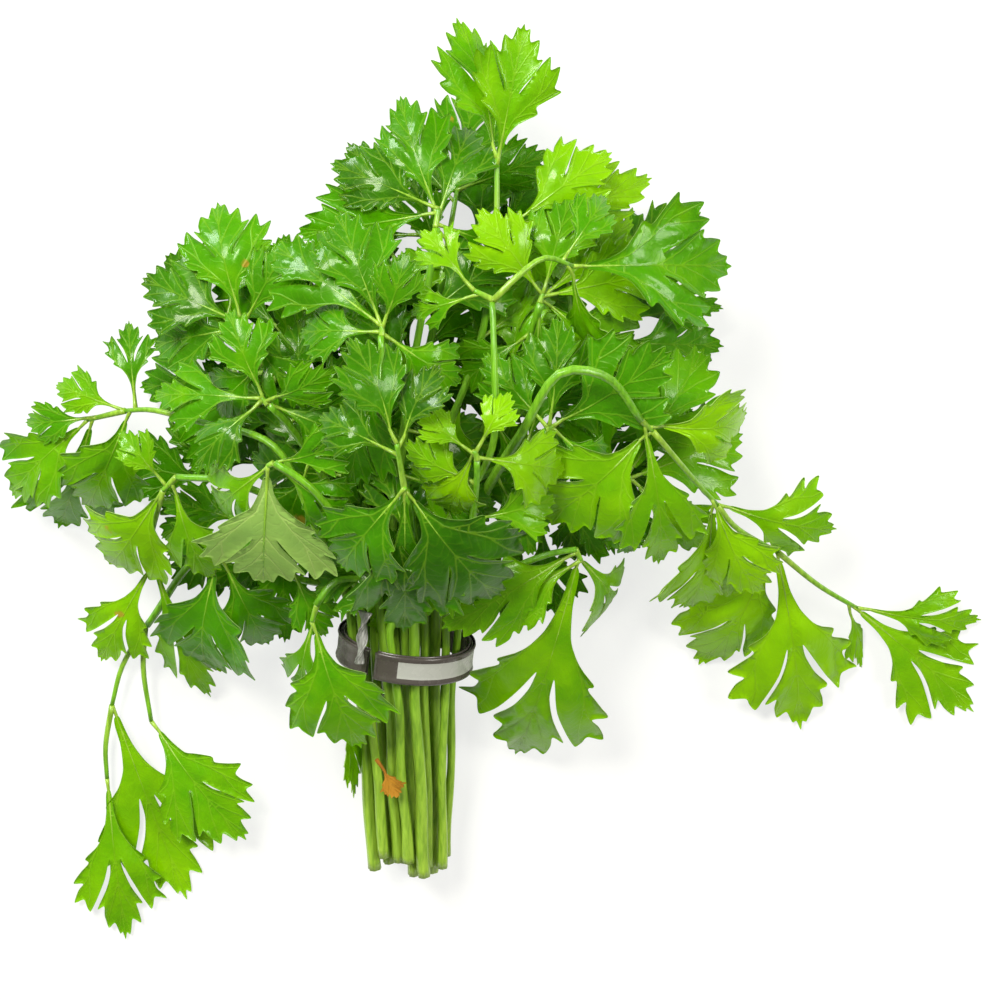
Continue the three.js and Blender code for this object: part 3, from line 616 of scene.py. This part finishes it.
def nearest(spots, starts, ends):
    """For each spot: how far the nearest of some lines is, and the place on it."""
    ab = ends - starts
    t = np.clip(((spots[:, None] - starts) * ab).sum(2) / (ab * ab).sum(1), 0, 1)
    gap = np.linalg.norm(spots[:, None] - (starts + t[..., None] * ab), axis=2)
    best = gap.argmin(1)
    return gap.min(1), starts[best] + t[np.arange(len(best)), best][:, None] * ab[best]


def inside(spots, outline, following):
    """Which spots lie within an outline, given its points and the ones that follow them."""
    x, y = spots[:, 0, None], spots[:, 1, None]
    crosses = (outline[:, 1] > y) != (following[:, 1] > y)
    rise = following[:, 1] - outline[:, 1] + 1e-12
    cut = (following[:, 0] - outline[:, 0]) * (y - outline[:, 1]) / rise + outline[:, 0]
    return (crosses & (x < cut)).sum(1) % 2 == 1


def triangles(points, edges, loop):
    """Fills a loop with triangles that use all the points and follow the edges."""
    made = geometry.delaunay_2d_cdt(points, edges, [loop], 1, 1e-6, False)
    return np.array([tuple(p) for p in made[0]]), np.array(made[2])


def leaflet_template(seed):
    """A leaflet's blade as flat triangles, with each point's distance from the nearest vein."""
    rng = np.random.default_rng(seed)
    halves = []
    for side in (1, -1):
        spread, shift = rng.uniform(0.86, 1.1), rng.uniform(-0.05, 0.05)
        wave, phase = rng.uniform(0.01, 0.025), rng.uniform(0, 6.28)

        def shaped(share, across):
            """A place on this half, which has its own width, slant and waves."""
            away = min(1, across * 1.3) * (1 - share)
            return (share + shift * away + wave * math.sin(9 * across + phase) * across,
                    side * across * spread * (1 + wave * 3 * math.sin(14 * share + phase)))

        half_edge = [(share + rng.uniform(-0.012, 0.012), across * rng.uniform(0.95, 1.05))
                     for share, across in (DEEP_EDGE if seed in DEEP_VARIANTS else BROAD_EDGE)]
        halves.append(([shaped(*p) for p in half_edge], [[shaped(*p) for p in vein] for vein in HALF_VEINS]))
    (left_edge, left_veins), (right_edge, right_veins) = halves
    points = [flat_spot(p) for p in rounded(left_edge + [LEAFLET_END] + right_edge[::-1])]
    loop = list(range(len(points)))
    outline = np.array([tuple(p) for p in points])
    following = np.roll(outline, -1, axis=0)
    edges = []
    for vein in [MIDRIB] + left_veins + right_veins:
        start = len(points)
        points += [flat_spot(p) for p in split(vein, GRID)]
        edges += [(k, k + 1) for k in range(start, len(points) - 1)]
    vein_starts = np.array([tuple(points[a]) for a, b in edges])
    vein_ends = np.array([tuple(points[b]) for a, b in edges])

    # The blade's own points lie in staggered rows, clear of its edge and its veins.
    grid = []
    for k, row in enumerate(np.arange(-0.46, 0.46, GRID * 0.87)):
        for share in np.arange(0.02, 1, GRID):
            stray = rng.uniform(-GRID_JITTER, GRID_JITTER) * GRID
            grid.append((share + stray + (0.5 * GRID if k % 2 else 0),
                         row + rng.uniform(-GRID_JITTER, GRID_JITTER) * GRID))
    grid = np.array(grid)
    grid = grid[inside(grid, outline, following) & (nearest(grid, outline, following)[0] > GRID * 0.35)]
    grid = grid[nearest(grid, vein_starts, vein_ends)[0] > GRID * 0.4]
    points += [Vector(p) for p in grid]

    # A triangle whose corners all lie on veins couldn't puff up, so it gets a point in its middle.
    verts, faces = triangles(points, edges, loop)
    on_vein = (nearest(verts, vein_starts, vein_ends)[0] < 1e-5)[faces].all(1)
    between = verts[faces[on_vein]].mean(1)
    points += [Vector(p) for p in between[nearest(between, vein_starts, vein_ends)[0] > 0.004]]

    verts, faces = triangles(points, edges, loop)
    a, b, c = (verts[faces[:, k]] for k in range(3))
    clockwise = (b - a)[:, 0] * (c - a)[:, 1] <= (b - a)[:, 1] * (c - a)[:, 0]
    faces[clockwise] = faces[clockwise][:, ::-1]
    faces = faces[inside(verts[faces].mean(1), outline, following)]
    gap, feet = nearest(verts, vein_starts, vein_ends)
    sides = [pair for face in faces.tolist() for pair in zip(face, face[1:] + face[:1])]
    paired = set(sides)
    return {"share": verts[:, 0], "side": verts[:, 1] / HALF_WIDTH, "faces": faces, "gap": gap,
            "run": np.linalg.norm(feet, axis=1), "margin": nearest(verts, outline, following)[0],
            "rim": [(a, b) for a, b in sides if (b, a) not in paired]}


templates = [leaflet_template(seed) for seed in range(VARIANTS)]


def pressed(z):
    """The surface holds a leaflet up: a height that is never less than its rest height."""
    bend = PRESS_HEIGHT - REST_HEIGHT
    low = REST_HEIGHT + bend * np.exp((np.minimum(z, PRESS_HEIGHT) - PRESS_HEIGHT) / bend)
    return np.where(z >= PRESS_HEIGHT, z, low)


def leaflet_axes(base, tip, roll):
    """The ways along a leaflet, out of its upper face and across it."""
    along = (tip - base) / np.linalg.norm(tip - base)
    upright = np.array([0.0, 1.0, 0.0] if abs(along[2]) > 0.95 else [0.0, 0.0, 1.0])
    out = upright - along * upright.dot(along)
    out /= np.linalg.norm(out)
    turn = math.radians(roll)
    out = out * math.cos(turn) + np.cross(along, out) * math.sin(turn)
    return along, out, np.cross(out, along)


def leaflet_tip(knot, form, rise, size):
    wish = np.array(form[:3], float)
    tip = knot + (wish - knot) * size
    return tip + leaflet_axes(knot, wish, form[4])[1] * rise


def settled(knot, form, solid):
    """The way a leaflet lies once its neighbours have pushed it: its tip and its turn, or None
    where it found no room."""
    choices = [(0, 1)] + [(rise, size) for size in SIZES for rise in RISES]
    found = []
    for rise, size in choices:
        tip = leaflet_tip(knot, form, rise, size)
        spot = tip.copy()
        spot[2] = pressed(spot[2])
        found.append((np.linalg.norm(solid - spot, axis=1).min(), len(found), tip, 2 * rise))
    near, _, tip, turn = min(found)
    return (tip, turn) if near < TIP_MATCH else None


def seat(points, place, count):
    """Where the next leaflet's stalk leaves the end of a rib."""
    end = np.array(points[-1], float)
    back = np.array(points[-2], float) - end
    reach = np.linalg.norm(back)
    return end + back / reach * min(SEAT_PITCH, reach / count) * place


def add_leaflet(shape, knot, tip, form, turn, tone, rng, crumple=1):
    """Adds a leaflet from its knot on the rib to its tip: its blade, its stalk and its midrib."""
    half_share, roll, arch = form[3:]
    along, out, across = leaflet_axes(knot, tip, roll + turn)
    base = knot + along * STALK_LENGTH
    length = np.linalg.norm(tip - base)
    half_width = half_share * length
    kind = rng.integers(VARIANTS)
    if half_share >= WIDE_LEAFLET:
        kind += kind in DEEP_VARIANTS
    elif length > LONG_LEAFLET:
        kind = DEEP_VARIANTS[kind % 2]
    flat = templates[kind]
    mirror = 1 if rng.random() < 0.5 else -1
    faces = flat["faces"] if mirror < 0 else flat["faces"][:, ::-1]
    big = crumple * length / TYPICAL_LEAFLET
    puff, wave, phase = rng.uniform(0.6, 1.3) * big, rng.uniform(0.8, 2.0) * big, rng.uniform(0, 6.28)
    curl = rng.uniform(-7, 3) * min(big, 1.2)
    lean, fold = rng.uniform(-2, 2) * big, rng.uniform(-0.1, 0.3) * half_width
    flaps = rng.uniform(-0.34, 0.2, 2) * half_width

    def spot_of(share, side, gap, height):
        """Where a place on the flat blade lies: arched and cupped as a whole, puffed up between
        the veins, with a wavy edge, a curled tip, and lobes that lean, fold and flap."""
        lift = 4 * arch * share * (1 - share) - BLADE_CUP * half_width * side ** 2
        puffed = puff * (1 - np.exp(-(gap / PUFF_REACH) ** 2))
        lift = lift + puffed * (0.4 + 0.6 * np.sin(share * 9 + side * 5 + phase))
        lift = lift + wave * np.abs(side) ** 1.5 * np.sin(7 * share + 3 * side + phase)
        lift = lift + curl * np.clip(share, 0, 1) ** 3 + lean * side * share + fold * np.abs(side) ** 1.3
        lift = lift + np.where(side > 0, flaps[0], flaps[1]) * side ** 2
        spot = base + np.outer(share * length, along) + np.outer(half_width * side, across)
        spot = spot + np.outer(lift, out)
        spot[:, 2] = pressed(spot[:, 2])
        return spot + height * out

    share, side, gap = flat["share"], flat["side"] * mirror, flat["gap"] * length
    count = len(share)
    spots = [*spot_of(share, side, gap, LAMINA / 2), *spot_of(share, side, gap, -LAMINA / 2)]
    walls = [[b, a, a + count, b + count] if mirror > 0 else [a, b, b + count, a + count]
             for a, b in flat["rim"]]
    shape.add(spots, faces.tolist() + (faces[:, ::-1] + count).tolist() + walls,
              [TOP] * len(faces) + [UNDER] * (len(faces) + len(walls)), vein=np.tile(gap, 2),
              run=np.tile(flat["run"] * length, 2), margin=np.tile(flat["margin"] * length, 2), tone=tone)
    nothing = np.zeros(MIDRIB_SPOTS)
    middle = spot_of(np.linspace(0, MIDRIB_SHARE, MIDRIB_SPOTS), nothing, nothing, -LAMINA / 2)
    stalk = np.vstack([knot, knot + (middle[0] - knot) * 0.5, middle])
    thick = rng.uniform(0.75, 0.9)

    def stalk_radius(t):
        return thick - (thick - MIDRIB_TIP_RADIUS) * min(1, t * 1.15) ** 0.6

    sweep(shape, stalk, stalk_radius, STALK_SIDES, STALK)


# The two faces of a blade: a waxy skin with sunken veins above, and a paler, matt one with
# raised veins below. Light that falls on one comes through to the other, yellower.
def leaf_material(name, tones, vein_colour, vein_share, relief, roughness, coat, through):
    """A blade's skin, its tones from a deep green to a yellow-green: partly a leaf's age and partly
    painted light and shade. Relief is how far its veins are sunk."""
    material, tree = new_material(name)
    tone, vein, run, margin = (
        node(tree, "Attribute", {"attribute_name": key}).outputs["Fac"]
        for key in ("tone", "vein", "run", "margin"))
    place = node(tree, "TexCoord").outputs["Object"]
    # Its green varies in patches of 11 mm.
    mottle = node(tree, "TexNoise", Vector=place, Scale=pattern_every(11.1), Detail=3.0)
    mix = node(tree, "Math", {"operation": "MULTIPLY_ADD"}, i0=mottle, i1=0.5, i2=tone)
    shift = node(tree, "Math", {"operation": "SUBTRACT"}, i0=mix, i1=0.25)
    green = node(tree, "ValToRGB", {"stops": tones}, Fac=shift)
    # Main veins are pale lines 0.4 mm wide; side veins leave them at a slant every 2.8 mm.
    main = node(tree, "MapRange", Value=vein, From_Min=0.05, From_Max=0.35,
                To_Min=1.0, To_Max=0.0)
    slant = node(tree, "Math", {"operation": "SUBTRACT"}, i0=run, i1=vein)
    comb = node(tree, "Math", {"operation": "PINGPONG"}, i0=slant, i1=2.8 / 2)
    side = node(tree, "MapRange", Value=comb, From_Min=0.0, From_Max=0.45,
                To_Min=0.22, To_Max=0.0)
    veins = node(tree, "Math", {"operation": "MAXIMUM"}, i0=main, i1=side)
    pale = node(tree, "Math", {"operation": "MULTIPLY"}, i0=veins, i1=vein_share)
    veined = node(tree, "Mix", {"data_type": "RGBA"}, Factor=pale, A=green,
                  B=linear(vein_colour))
    # The blade's margin is thinner and yellower for its last 0.5 mm.
    rim = node(tree, "MapRange", Value=margin, From_Min=0.0, From_Max=0.5,
               To_Min=0.12, To_Max=0.0)
    rimmed = node(tree, "Mix", {"data_type": "RGBA"}, Factor=rim,
                  A=veined.outputs["Result"], B=linear(vein_colour))
    # Here and there it has a dry, yellow-brown spot, 2 to 4 mm wide: one cell of 17 mm in ten.
    scatter = node(tree, "TexVoronoi", Vector=place, Scale=pattern_every(16.7))
    wobble = node(tree, "TexNoise", Vector=place, Scale=pattern_every(2))
    ragged = node(tree, "Math", {"operation": "MULTIPLY_ADD"}, i0=wobble, i1=0.16, i2=scatter)
    chosen = node(tree, "SeparateColor", Color=scatter.outputs["Color"])
    rare = node(tree, "Math", {"operation": "GREATER_THAN"}, i0=chosen, i1=0.9)
    near = node(tree, "MapRange", Value=ragged, From_Min=0.17, From_Max=0.21,
                To_Min=0.85, To_Max=0.0)
    spotty = node(tree, "Math", {"operation": "MULTIPLY"}, i0=rare, i1=near)
    worn = node(tree, "Mix", {"data_type": "RGBA"}, Factor=spotty,
                A=rimmed.outputs["Result"], B=linear("#b08a30"))
    # Between the veins it is finely puckered, every 1.4 mm.
    puckers = node(tree, "TexVoronoi", Vector=place, Scale=pattern_every(1.43))
    sunk = node(tree, "Math", {"operation": "MULTIPLY"}, i0=veins, i1=-relief)
    ground = node(tree, "Math", {"operation": "MULTIPLY_ADD"}, i0=puckers, i1=-0.25, i2=sunk)
    bump = node(tree, "Bump", Strength=0.4, Distance=0.0005, Height=ground)
    skin = node(tree, "BsdfPrincipled", Base_Color=worn.outputs["Result"], IOR=1.42,
                Roughness=roughness, Specular_IOR_Level=0.3, Specular_Tint=(0.85, 1.0, 0.45, 1.0),
                Coat_Weight=coat, Coat_Roughness=0.14, Normal=bump)
    glow = node(tree, "BsdfTranslucent", Color=linear(through), Normal=bump)
    both = node(tree, "MixShader", Fac=0.3, i1=skin, i2=glow)
    node(tree, "OutputMaterial", Surface=both)
    return material


# Its lowest tones are a near black-green that stands for painted shade deep in the bunch.
leaf_top = leaf_material(
    "parsley_leaf_waxy_top", [(0.0, "#143c00"), (1.0, "#92cc00"), (0.5, "#478f00")], "#a0cc30",
    vein_share=0.24, relief=1.0, roughness=0.3, coat=0.3, through="#a2d800")
leaf_under = leaf_material(
    "parsley_leaf_matt_underside", [(0.0, "#629238"), (1.0, "#b2d068"), (0.5, "#8fb85c")], "#c4dc80",
    vein_share=0.45, relief=-1.2, roughness=0.6, coat=0.0, through="#a8dc20")

# Inside the bunch the stems carry young leaflets too: how many, and between which shares of a
# stem's run. The stems that lie bare on top have none.
YOUNG = {name: (6, 0.55, 0.95) for name in (
    "upper_left", "upper_middle", "right_middle", "top_right", "left_middle", "right_back", "low_left",
    "curled", "centre", "crown")}
YOUNG.update({name: (8, 0.6, 1.0) for name in (
    "top_left", "under_middle", "under_upper_left", "under_upper_right")})
YOUNG["forked"] = (3, 0.5, 0.62)
YOUNG["under_top"] = (14, 0.6, 1.0)
YOUNG_TURN = math.radians(137.5)        # from each young leaflet to the next one along its stem
YOUNG_HALF_WIDTH = 0.43
YOUNG_ARCH = 3
# Painted shade: the young leaflets inside the bunch take a darker tone than their leaf's own.
SHADED_TONE_SHARE = 0.8                # of the leaf's own
TIE_CLEARANCE = 16              # along the stems, that young leaflets keep from the tie


def rib_radius(t):
    return RIB_RADIUS + (RIB_END_RADIUS - RIB_RADIUS) * t


for number, sprig in enumerate(grown):
    rng = np.random.default_rng(100 + number)
    name = "leaf_" + sprig["name"]
    solid = (np.array([v.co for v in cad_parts[name].data.vertices]) - np.array(tie_foot)) / MM
    leaf = Shape()
    for points, blades in sprig["ribs"]:
        sweep(leaf, curve(points, RIB_RINGS), rib_radius, RIB_SIDES, STALK)
        for place, form in enumerate(blades):
            knot = seat(points, place, len(blades))
            lie = settled(knot, form, solid)
            if lie:
                tone = sprig["tone"] + rng.uniform(-0.16, 0.16)
                add_leaflet(leaf, knot, lie[0], form, lie[1], tone, rng)
    count, first, last = YOUNG.get(sprig["name"], (0, 0, 0))
    knots = np.linspace(first * (STEM_RINGS - 1), last * (STEM_RINGS - 1), count).astype(int)
    start = rng.uniform(0, 2 * math.pi)
    for k, knot in enumerate(curve(stem_points(sprig), STEM_RINGS)[knots]):
        heading, reach = start + YOUNG_TURN * k, rng.uniform(26, 40)
        tip = knot + np.array([math.cos(heading), math.sin(heading), rng.uniform(-0.5, -0.05)]) * reach
        if tip[1] > TIE_CLEARANCE:
            form = [*tip, YOUNG_HALF_WIDTH, rng.uniform(-25, 25), YOUNG_ARCH]
            tone = sprig["tone"] * SHADED_TONE_SHARE + rng.uniform(-0.1, 0.1)
            add_leaflet(leaf, knot, tip, form, 0, tone, rng)
    piece = leaf.piece("leaf_blades_" + sprig["name"], [leaf_top, leaf_under, stem_skin])
    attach(piece, "root")
    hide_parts(name)

# ---- The tie's films ----------------------------------------------------------------------
# Two strips of dark, glossy polypropylene, laminated over a wire at each edge and bent round the
# bundle by hand. A pale grey panel is printed on the outer one, and the panel is left bare.

TIE_RADIUS_X = 24
TIE_RADIUS_Z = 21
TIE_WIDTH = 10
TIE_SKEW = math.radians(-7)
TIE_MOUTH = 118                 # degrees round the tie, where its ends leave it
MOUTH_HALF_ANGLE = 4
FILM_THICKNESS = 0.35
FILM_GAP = 0.3
FILM_STEPS = 96
FILM_ROWS = 15
FILM_RIPPLE = 0.12              # from its lowest to its highest
WIRE_RADIUS = 0.35
WIRE_INSET = 0.8                # from the film's edge
WIRE_BULGE = 0.3
WIRE_BULGE_REACH = 0.7
FILM_SAG = 0.18
FILM_SAG_REACH = 3              # from the film's edge, over which it sinks that far
INNER_INSET = FILM_THICKNESS + 2 * (FILM_GAP + WIRE_RADIUS)
INNER_BULGE = -0.3              # the inner film bulges less, and inward
PANEL_MIDDLE = 0.8              # of the way round the tie
PANEL_LENGTH = 0.286            # likewise
PANEL_WIDTH = 0.6               # of the film's own

tie_plane = (Matrix.Translation((0, 0, TIE_MIDDLE)) @ Matrix.Rotation(TIE_SKEW, 4, "Z")
             @ Matrix.Rotation(math.pi / 2 + math.atan(BUNDLE_SLOPE), 4, "X"))


def tie_spot(inset, share, along):
    """A place on the tie: how deep, how far round from its mouth, and how far along the stems."""
    start = math.radians(TIE_MOUTH + MOUTH_HALF_ANGLE)
    end = math.radians(TIE_MOUTH - MOUTH_HALF_ANGLE + 360)
    angle = start + (end - start) * share
    x = (TIE_RADIUS_X - inset) * math.cos(angle)
    y = (TIE_RADIUS_Z - inset) * math.sin(angle)
    return tie_plane @ Vector((x, y, along))


def film(inset, outward):
    """A band of film. Over each wire it bulges outward, and between the wires it sinks."""
    shape = Shape()
    ripple = np.random.default_rng(5).uniform(-FILM_RIPPLE, FILM_RIPPLE, FILM_STEPS + 1) / 2
    grid = [(i, j) for i in range(FILM_STEPS + 1) for j in range(FILM_ROWS)]
    across = [j / (FILM_ROWS - 1) for i, j in grid]
    around = [i / FILM_STEPS for i, j in grid]
    for skin in (0, FILM_THICKNESS):
        verts = []
        for i, j in grid:
            along = (j / (FILM_ROWS - 1) - 0.5) * TIE_WIDTH
            edge = TIE_WIDTH / 2 - abs(along)
            bulge = WIRE_BULGE * math.exp(-((edge - WIRE_INSET) / WIRE_BULGE_REACH) ** 2)
            bulge = bulge - FILM_SAG * min(1, edge / FILM_SAG_REACH)
            verts.append(tie_spot(inset + skin - outward * (bulge + ripple[i]), i / FILM_STEPS, along))
        faces = []
        for i in range(FILM_STEPS):
            for j in range(FILM_ROWS - 1):
                a = i * FILM_ROWS + j
                b = a + FILM_ROWS
                faces.append([a, a + 1, b + 1, b] if skin else [a, b, b + 1, a + 1])
        shape.add(verts, faces, 0, across=across, round=around)
    start_edge = list(range(FILM_ROWS))
    end_edge = [FILM_STEPS * FILM_ROWS + j for j in start_edge]
    lower_edge = [i * FILM_ROWS for i in range(1, FILM_STEPS)]
    upper_edge = [i + FILM_ROWS - 1 for i in lower_edge]
    loop = start_edge + upper_edge + end_edge[::-1] + lower_edge[::-1]
    size = len(grid)
    for a, b in zip(loop, loop[1:] + loop[:1]):
        shape.faces.append([a, b, b + size, a + size])
        shape.slots.append(0)
    return shape


# Printed polypropylene film: glossy and dark brown-grey, with a pale grey panel that runs round
# the front.
film_print, tree = new_material("printed_polypropylene_film")
across = node(tree, "Attribute", {"attribute_name": "across"}).outputs["Fac"]
around = node(tree, "Attribute", {"attribute_name": "round"}).outputs["Fac"]
panel_rows = node(tree, "Math", {"operation": "COMPARE"}, i0=across, i1=0.5, i2=PANEL_WIDTH / 2)
panel_span = node(tree, "Math", {"operation": "COMPARE"}, i0=around, i1=PANEL_MIDDLE,
                  i2=PANEL_LENGTH / 2)
panel = node(tree, "Math", {"operation": "MULTIPLY"}, i0=panel_rows, i1=panel_span)
printed = node(tree, "Mix", {"data_type": "RGBA"}, Factor=panel, A=linear("#4b4542"),
               B=linear("#a7a8a3"))
# Handling has scuffed it: cloudy patches about 3 mm wide, and fine scratches 0.3 mm apart.
place = node(tree, "TexCoord").outputs["Object"]
clouds = node(tree, "TexNoise", Vector=place, Scale=pattern_every(3.03), Detail=2.0)
scratches = node(tree, "TexNoise", Vector=place, Scale=pattern_every(0.303), Detail=1.0)
scuffed = node(tree, "MapRange", Value=clouds, From_Min=0.35, From_Max=0.7,
               To_Min=0.16, To_Max=0.36)
bump = node(tree, "Bump", Strength=0.15, Distance=0.0001, Height=scratches)
shader = node(tree, "BsdfPrincipled", Base_Color=printed.outputs["Result"],
              Roughness=scuffed, IOR=1.49, Normal=bump)
node(tree, "OutputMaterial", Surface=shader)

for name, replaced, inset, outward in (("tie_film_outside", "tie_outer_film", 0, 1),
                                       ("tie_film_inside", "tie_inner_film", INNER_INSET, INNER_BULGE)):
    piece = film(inset, outward).piece(name, [film_print])
    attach(piece, "root")
    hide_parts(replaced)

# ---- The tie's wires ----------------------------------------------------------------------
# Two thin steel wires, drawn and galvanised, sealed between the films along their edges. They
# keep the tie bent.

WIRE_STEPS = 80
WIRE_SIDES = 8
WIRE_DEPTH = FILM_THICKNESS + FILM_GAP + WIRE_RADIUS

# Galvanised steel: a dull grey zinc skin, mottled every 0.5 mm.
steel, tree = new_material("galvanised_steel_wire")
place = node(tree, "TexCoord").outputs["Object"]
mottle = node(tree, "TexNoise", Vector=place, Scale=pattern_every(0.5))
zinc = node(tree, "ValToRGB", {"stops": [(0.0, "#7f7d79"), (1.0, "#a2a09b")]}, Fac=mottle)
shader = node(tree, "BsdfPrincipled", Base_Color=zinc, Metallic=1.0, Roughness=0.35)
node(tree, "OutputMaterial", Surface=shader)

for edge_name, edge_side in (("upper", 1), ("lower", -1)):
    wire = Shape()
    wire_along = edge_side * (TIE_WIDTH / 2 - WIRE_INSET)
    spots = np.array([tie_spot(WIRE_DEPTH, k / WIRE_STEPS, wire_along) for k in range(WIRE_STEPS + 1)])
    sweep(wire, spots, lambda t: WIRE_RADIUS, WIRE_SIDES, 0)
    piece = wire.piece("tie_wire_" + edge_name, [steel])
    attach(piece, "root")
    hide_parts("tie_" + edge_name + "_wire")

# ---- The tie's twisted ends ---------------------------------------------------------------
# Both ends of the tie, wires and all, gathered and twisted together by hand into a flat, ribbed
# tail. It is pleated lengthwise, and widens a little towards its cut end.

TAIL_LENGTH = 19
TAIL_WIDTH = 4
TAIL_THICKNESS = 1.736
TAIL_TURNS = 0.9
TAIL_START = 4
TAIL_RINGS = 60
TAIL_SIDES = 40
PLEATS = 8
PLEAT_DEPTH = 0.13              # as a share of the tail's size
TAIL_NECK = 0.85                # the tail's width where it leaves the tie, as a share of its own
TAIL_FLARE = 0.4                # what it gains on the way, likewise
TAIL_RIPPLE = 0.06

verts = []
mouth = math.radians(TIE_MOUTH + MOUTH_HALF_ANGLE)
tail_x = (TIE_RADIUS_X + TAIL_WIDTH) * math.cos(mouth)
tail_y = (TIE_RADIUS_Z + TAIL_WIDTH) * math.sin(mouth)
for i in range(TAIL_RINGS + 1):
    t = i / TAIL_RINGS
    back = TAIL_START - TIE_WIDTH / 2 - TAIL_LENGTH * t
    turn = 2 * math.pi * TAIL_TURNS * (0.5 - t)
    flare = TAIL_NECK + TAIL_FLARE * t ** 3 + TAIL_RIPPLE * math.sin(19 * t)
    for j in range(TAIL_SIDES):
        angle = 2 * math.pi * j / TAIL_SIDES
        pleat = 1 + PLEAT_DEPTH * math.cos(PLEATS * angle)
        u = TAIL_WIDTH / 2 * math.cos(angle) * pleat * flare
        v = TAIL_THICKNESS / 2 * math.sin(angle) * pleat
        x, y = u * math.cos(turn) - v * math.sin(turn), u * math.sin(turn) + v * math.cos(turn)
        verts.append(tie_plane @ Vector((tail_x + x, tail_y + y, back)))
first_end = list(range(TAIL_SIDES - 1, -1, -1))
last_end = [TAIL_RINGS * TAIL_SIDES + j for j in range(TAIL_SIDES)]
tail = Shape()
tail.add(verts, tube_faces(TAIL_RINGS + 1, TAIL_SIDES) + [first_end, last_end], 0)

# The same film, stretched by the twist: it whitens along its pleats, in streaks 0.8 mm wide and
# 6 mm long.
film_rope, tree = new_material("twisted_film")
place = node(tree, "TexCoord").outputs["Object"]
streak_scale = (pattern_every(0.8), pattern_every(5.88), pattern_every(0.8))
streak_space = node(tree, "Mapping", Vector=place, Scale=streak_scale)
whitening = node(tree, "TexNoise", Vector=streak_space, Scale=1.0, Detail=2.0)
stretched = node(tree, "ValToRGB", {"stops": [(0.3, "#656462"), (0.7, "#adadab")]}, Fac=whitening)
shader = node(tree, "BsdfPrincipled", Base_Color=stretched, Roughness=0.3, IOR=1.49)
node(tree, "OutputMaterial", Surface=shader)
piece = tail.piece("tie_tail", [film_rope])
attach(piece, "root")
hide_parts("tie_twisted_ends")

# ---- The loose leaflets -------------------------------------------------------------------
# A leaflet that was caught among the cut stems and has withered to a brown crumpled scrap, and
# a small pale one tucked in beside them.

# A dried blade: papery and matt, brown to straw, with the light coming through it orange.
withered = leaf_material(
    "withered_leaf", [(0.0, "#7a4312"), (1.0, "#d9a83a"), (0.5, "#b8822a")], "#c98f38",
    vein_share=0.4, relief=1.0, roughness=0.8, coat=0.0, through="#d08a2a")

LOOSE = [
    {"name": "withered_leaflet", "start": [-10, -37, 38], "form": [-2, -50, 37, 0.42, 20, 1],
     "tone": 0.5, "crumple": 4, "skins": [withered] * 3, "slot": "withered_leaf"},
    {"name": "tucked_leaflet", "start": [-21, -17, 30], "form": [-20, -54, 26, 0.24, -64, 1],
     "tone": 0.75, "crumple": 1, "skins": [leaf_top, leaf_under, stem_skin], "slot": "leaf"},
]
for loose in LOOSE:
    knot, tip = np.array(loose["start"], float), np.array(loose["form"][:3], float)
    scrap = Shape()
    add_leaflet(scrap, knot, tip, loose["form"], 0, loose["tone"], np.random.default_rng(7), loose["crumple"])
    piece = scrap.piece(loose["name"] + "_blade", loose["skins"])
    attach(piece, "root")
    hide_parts(loose["name"])
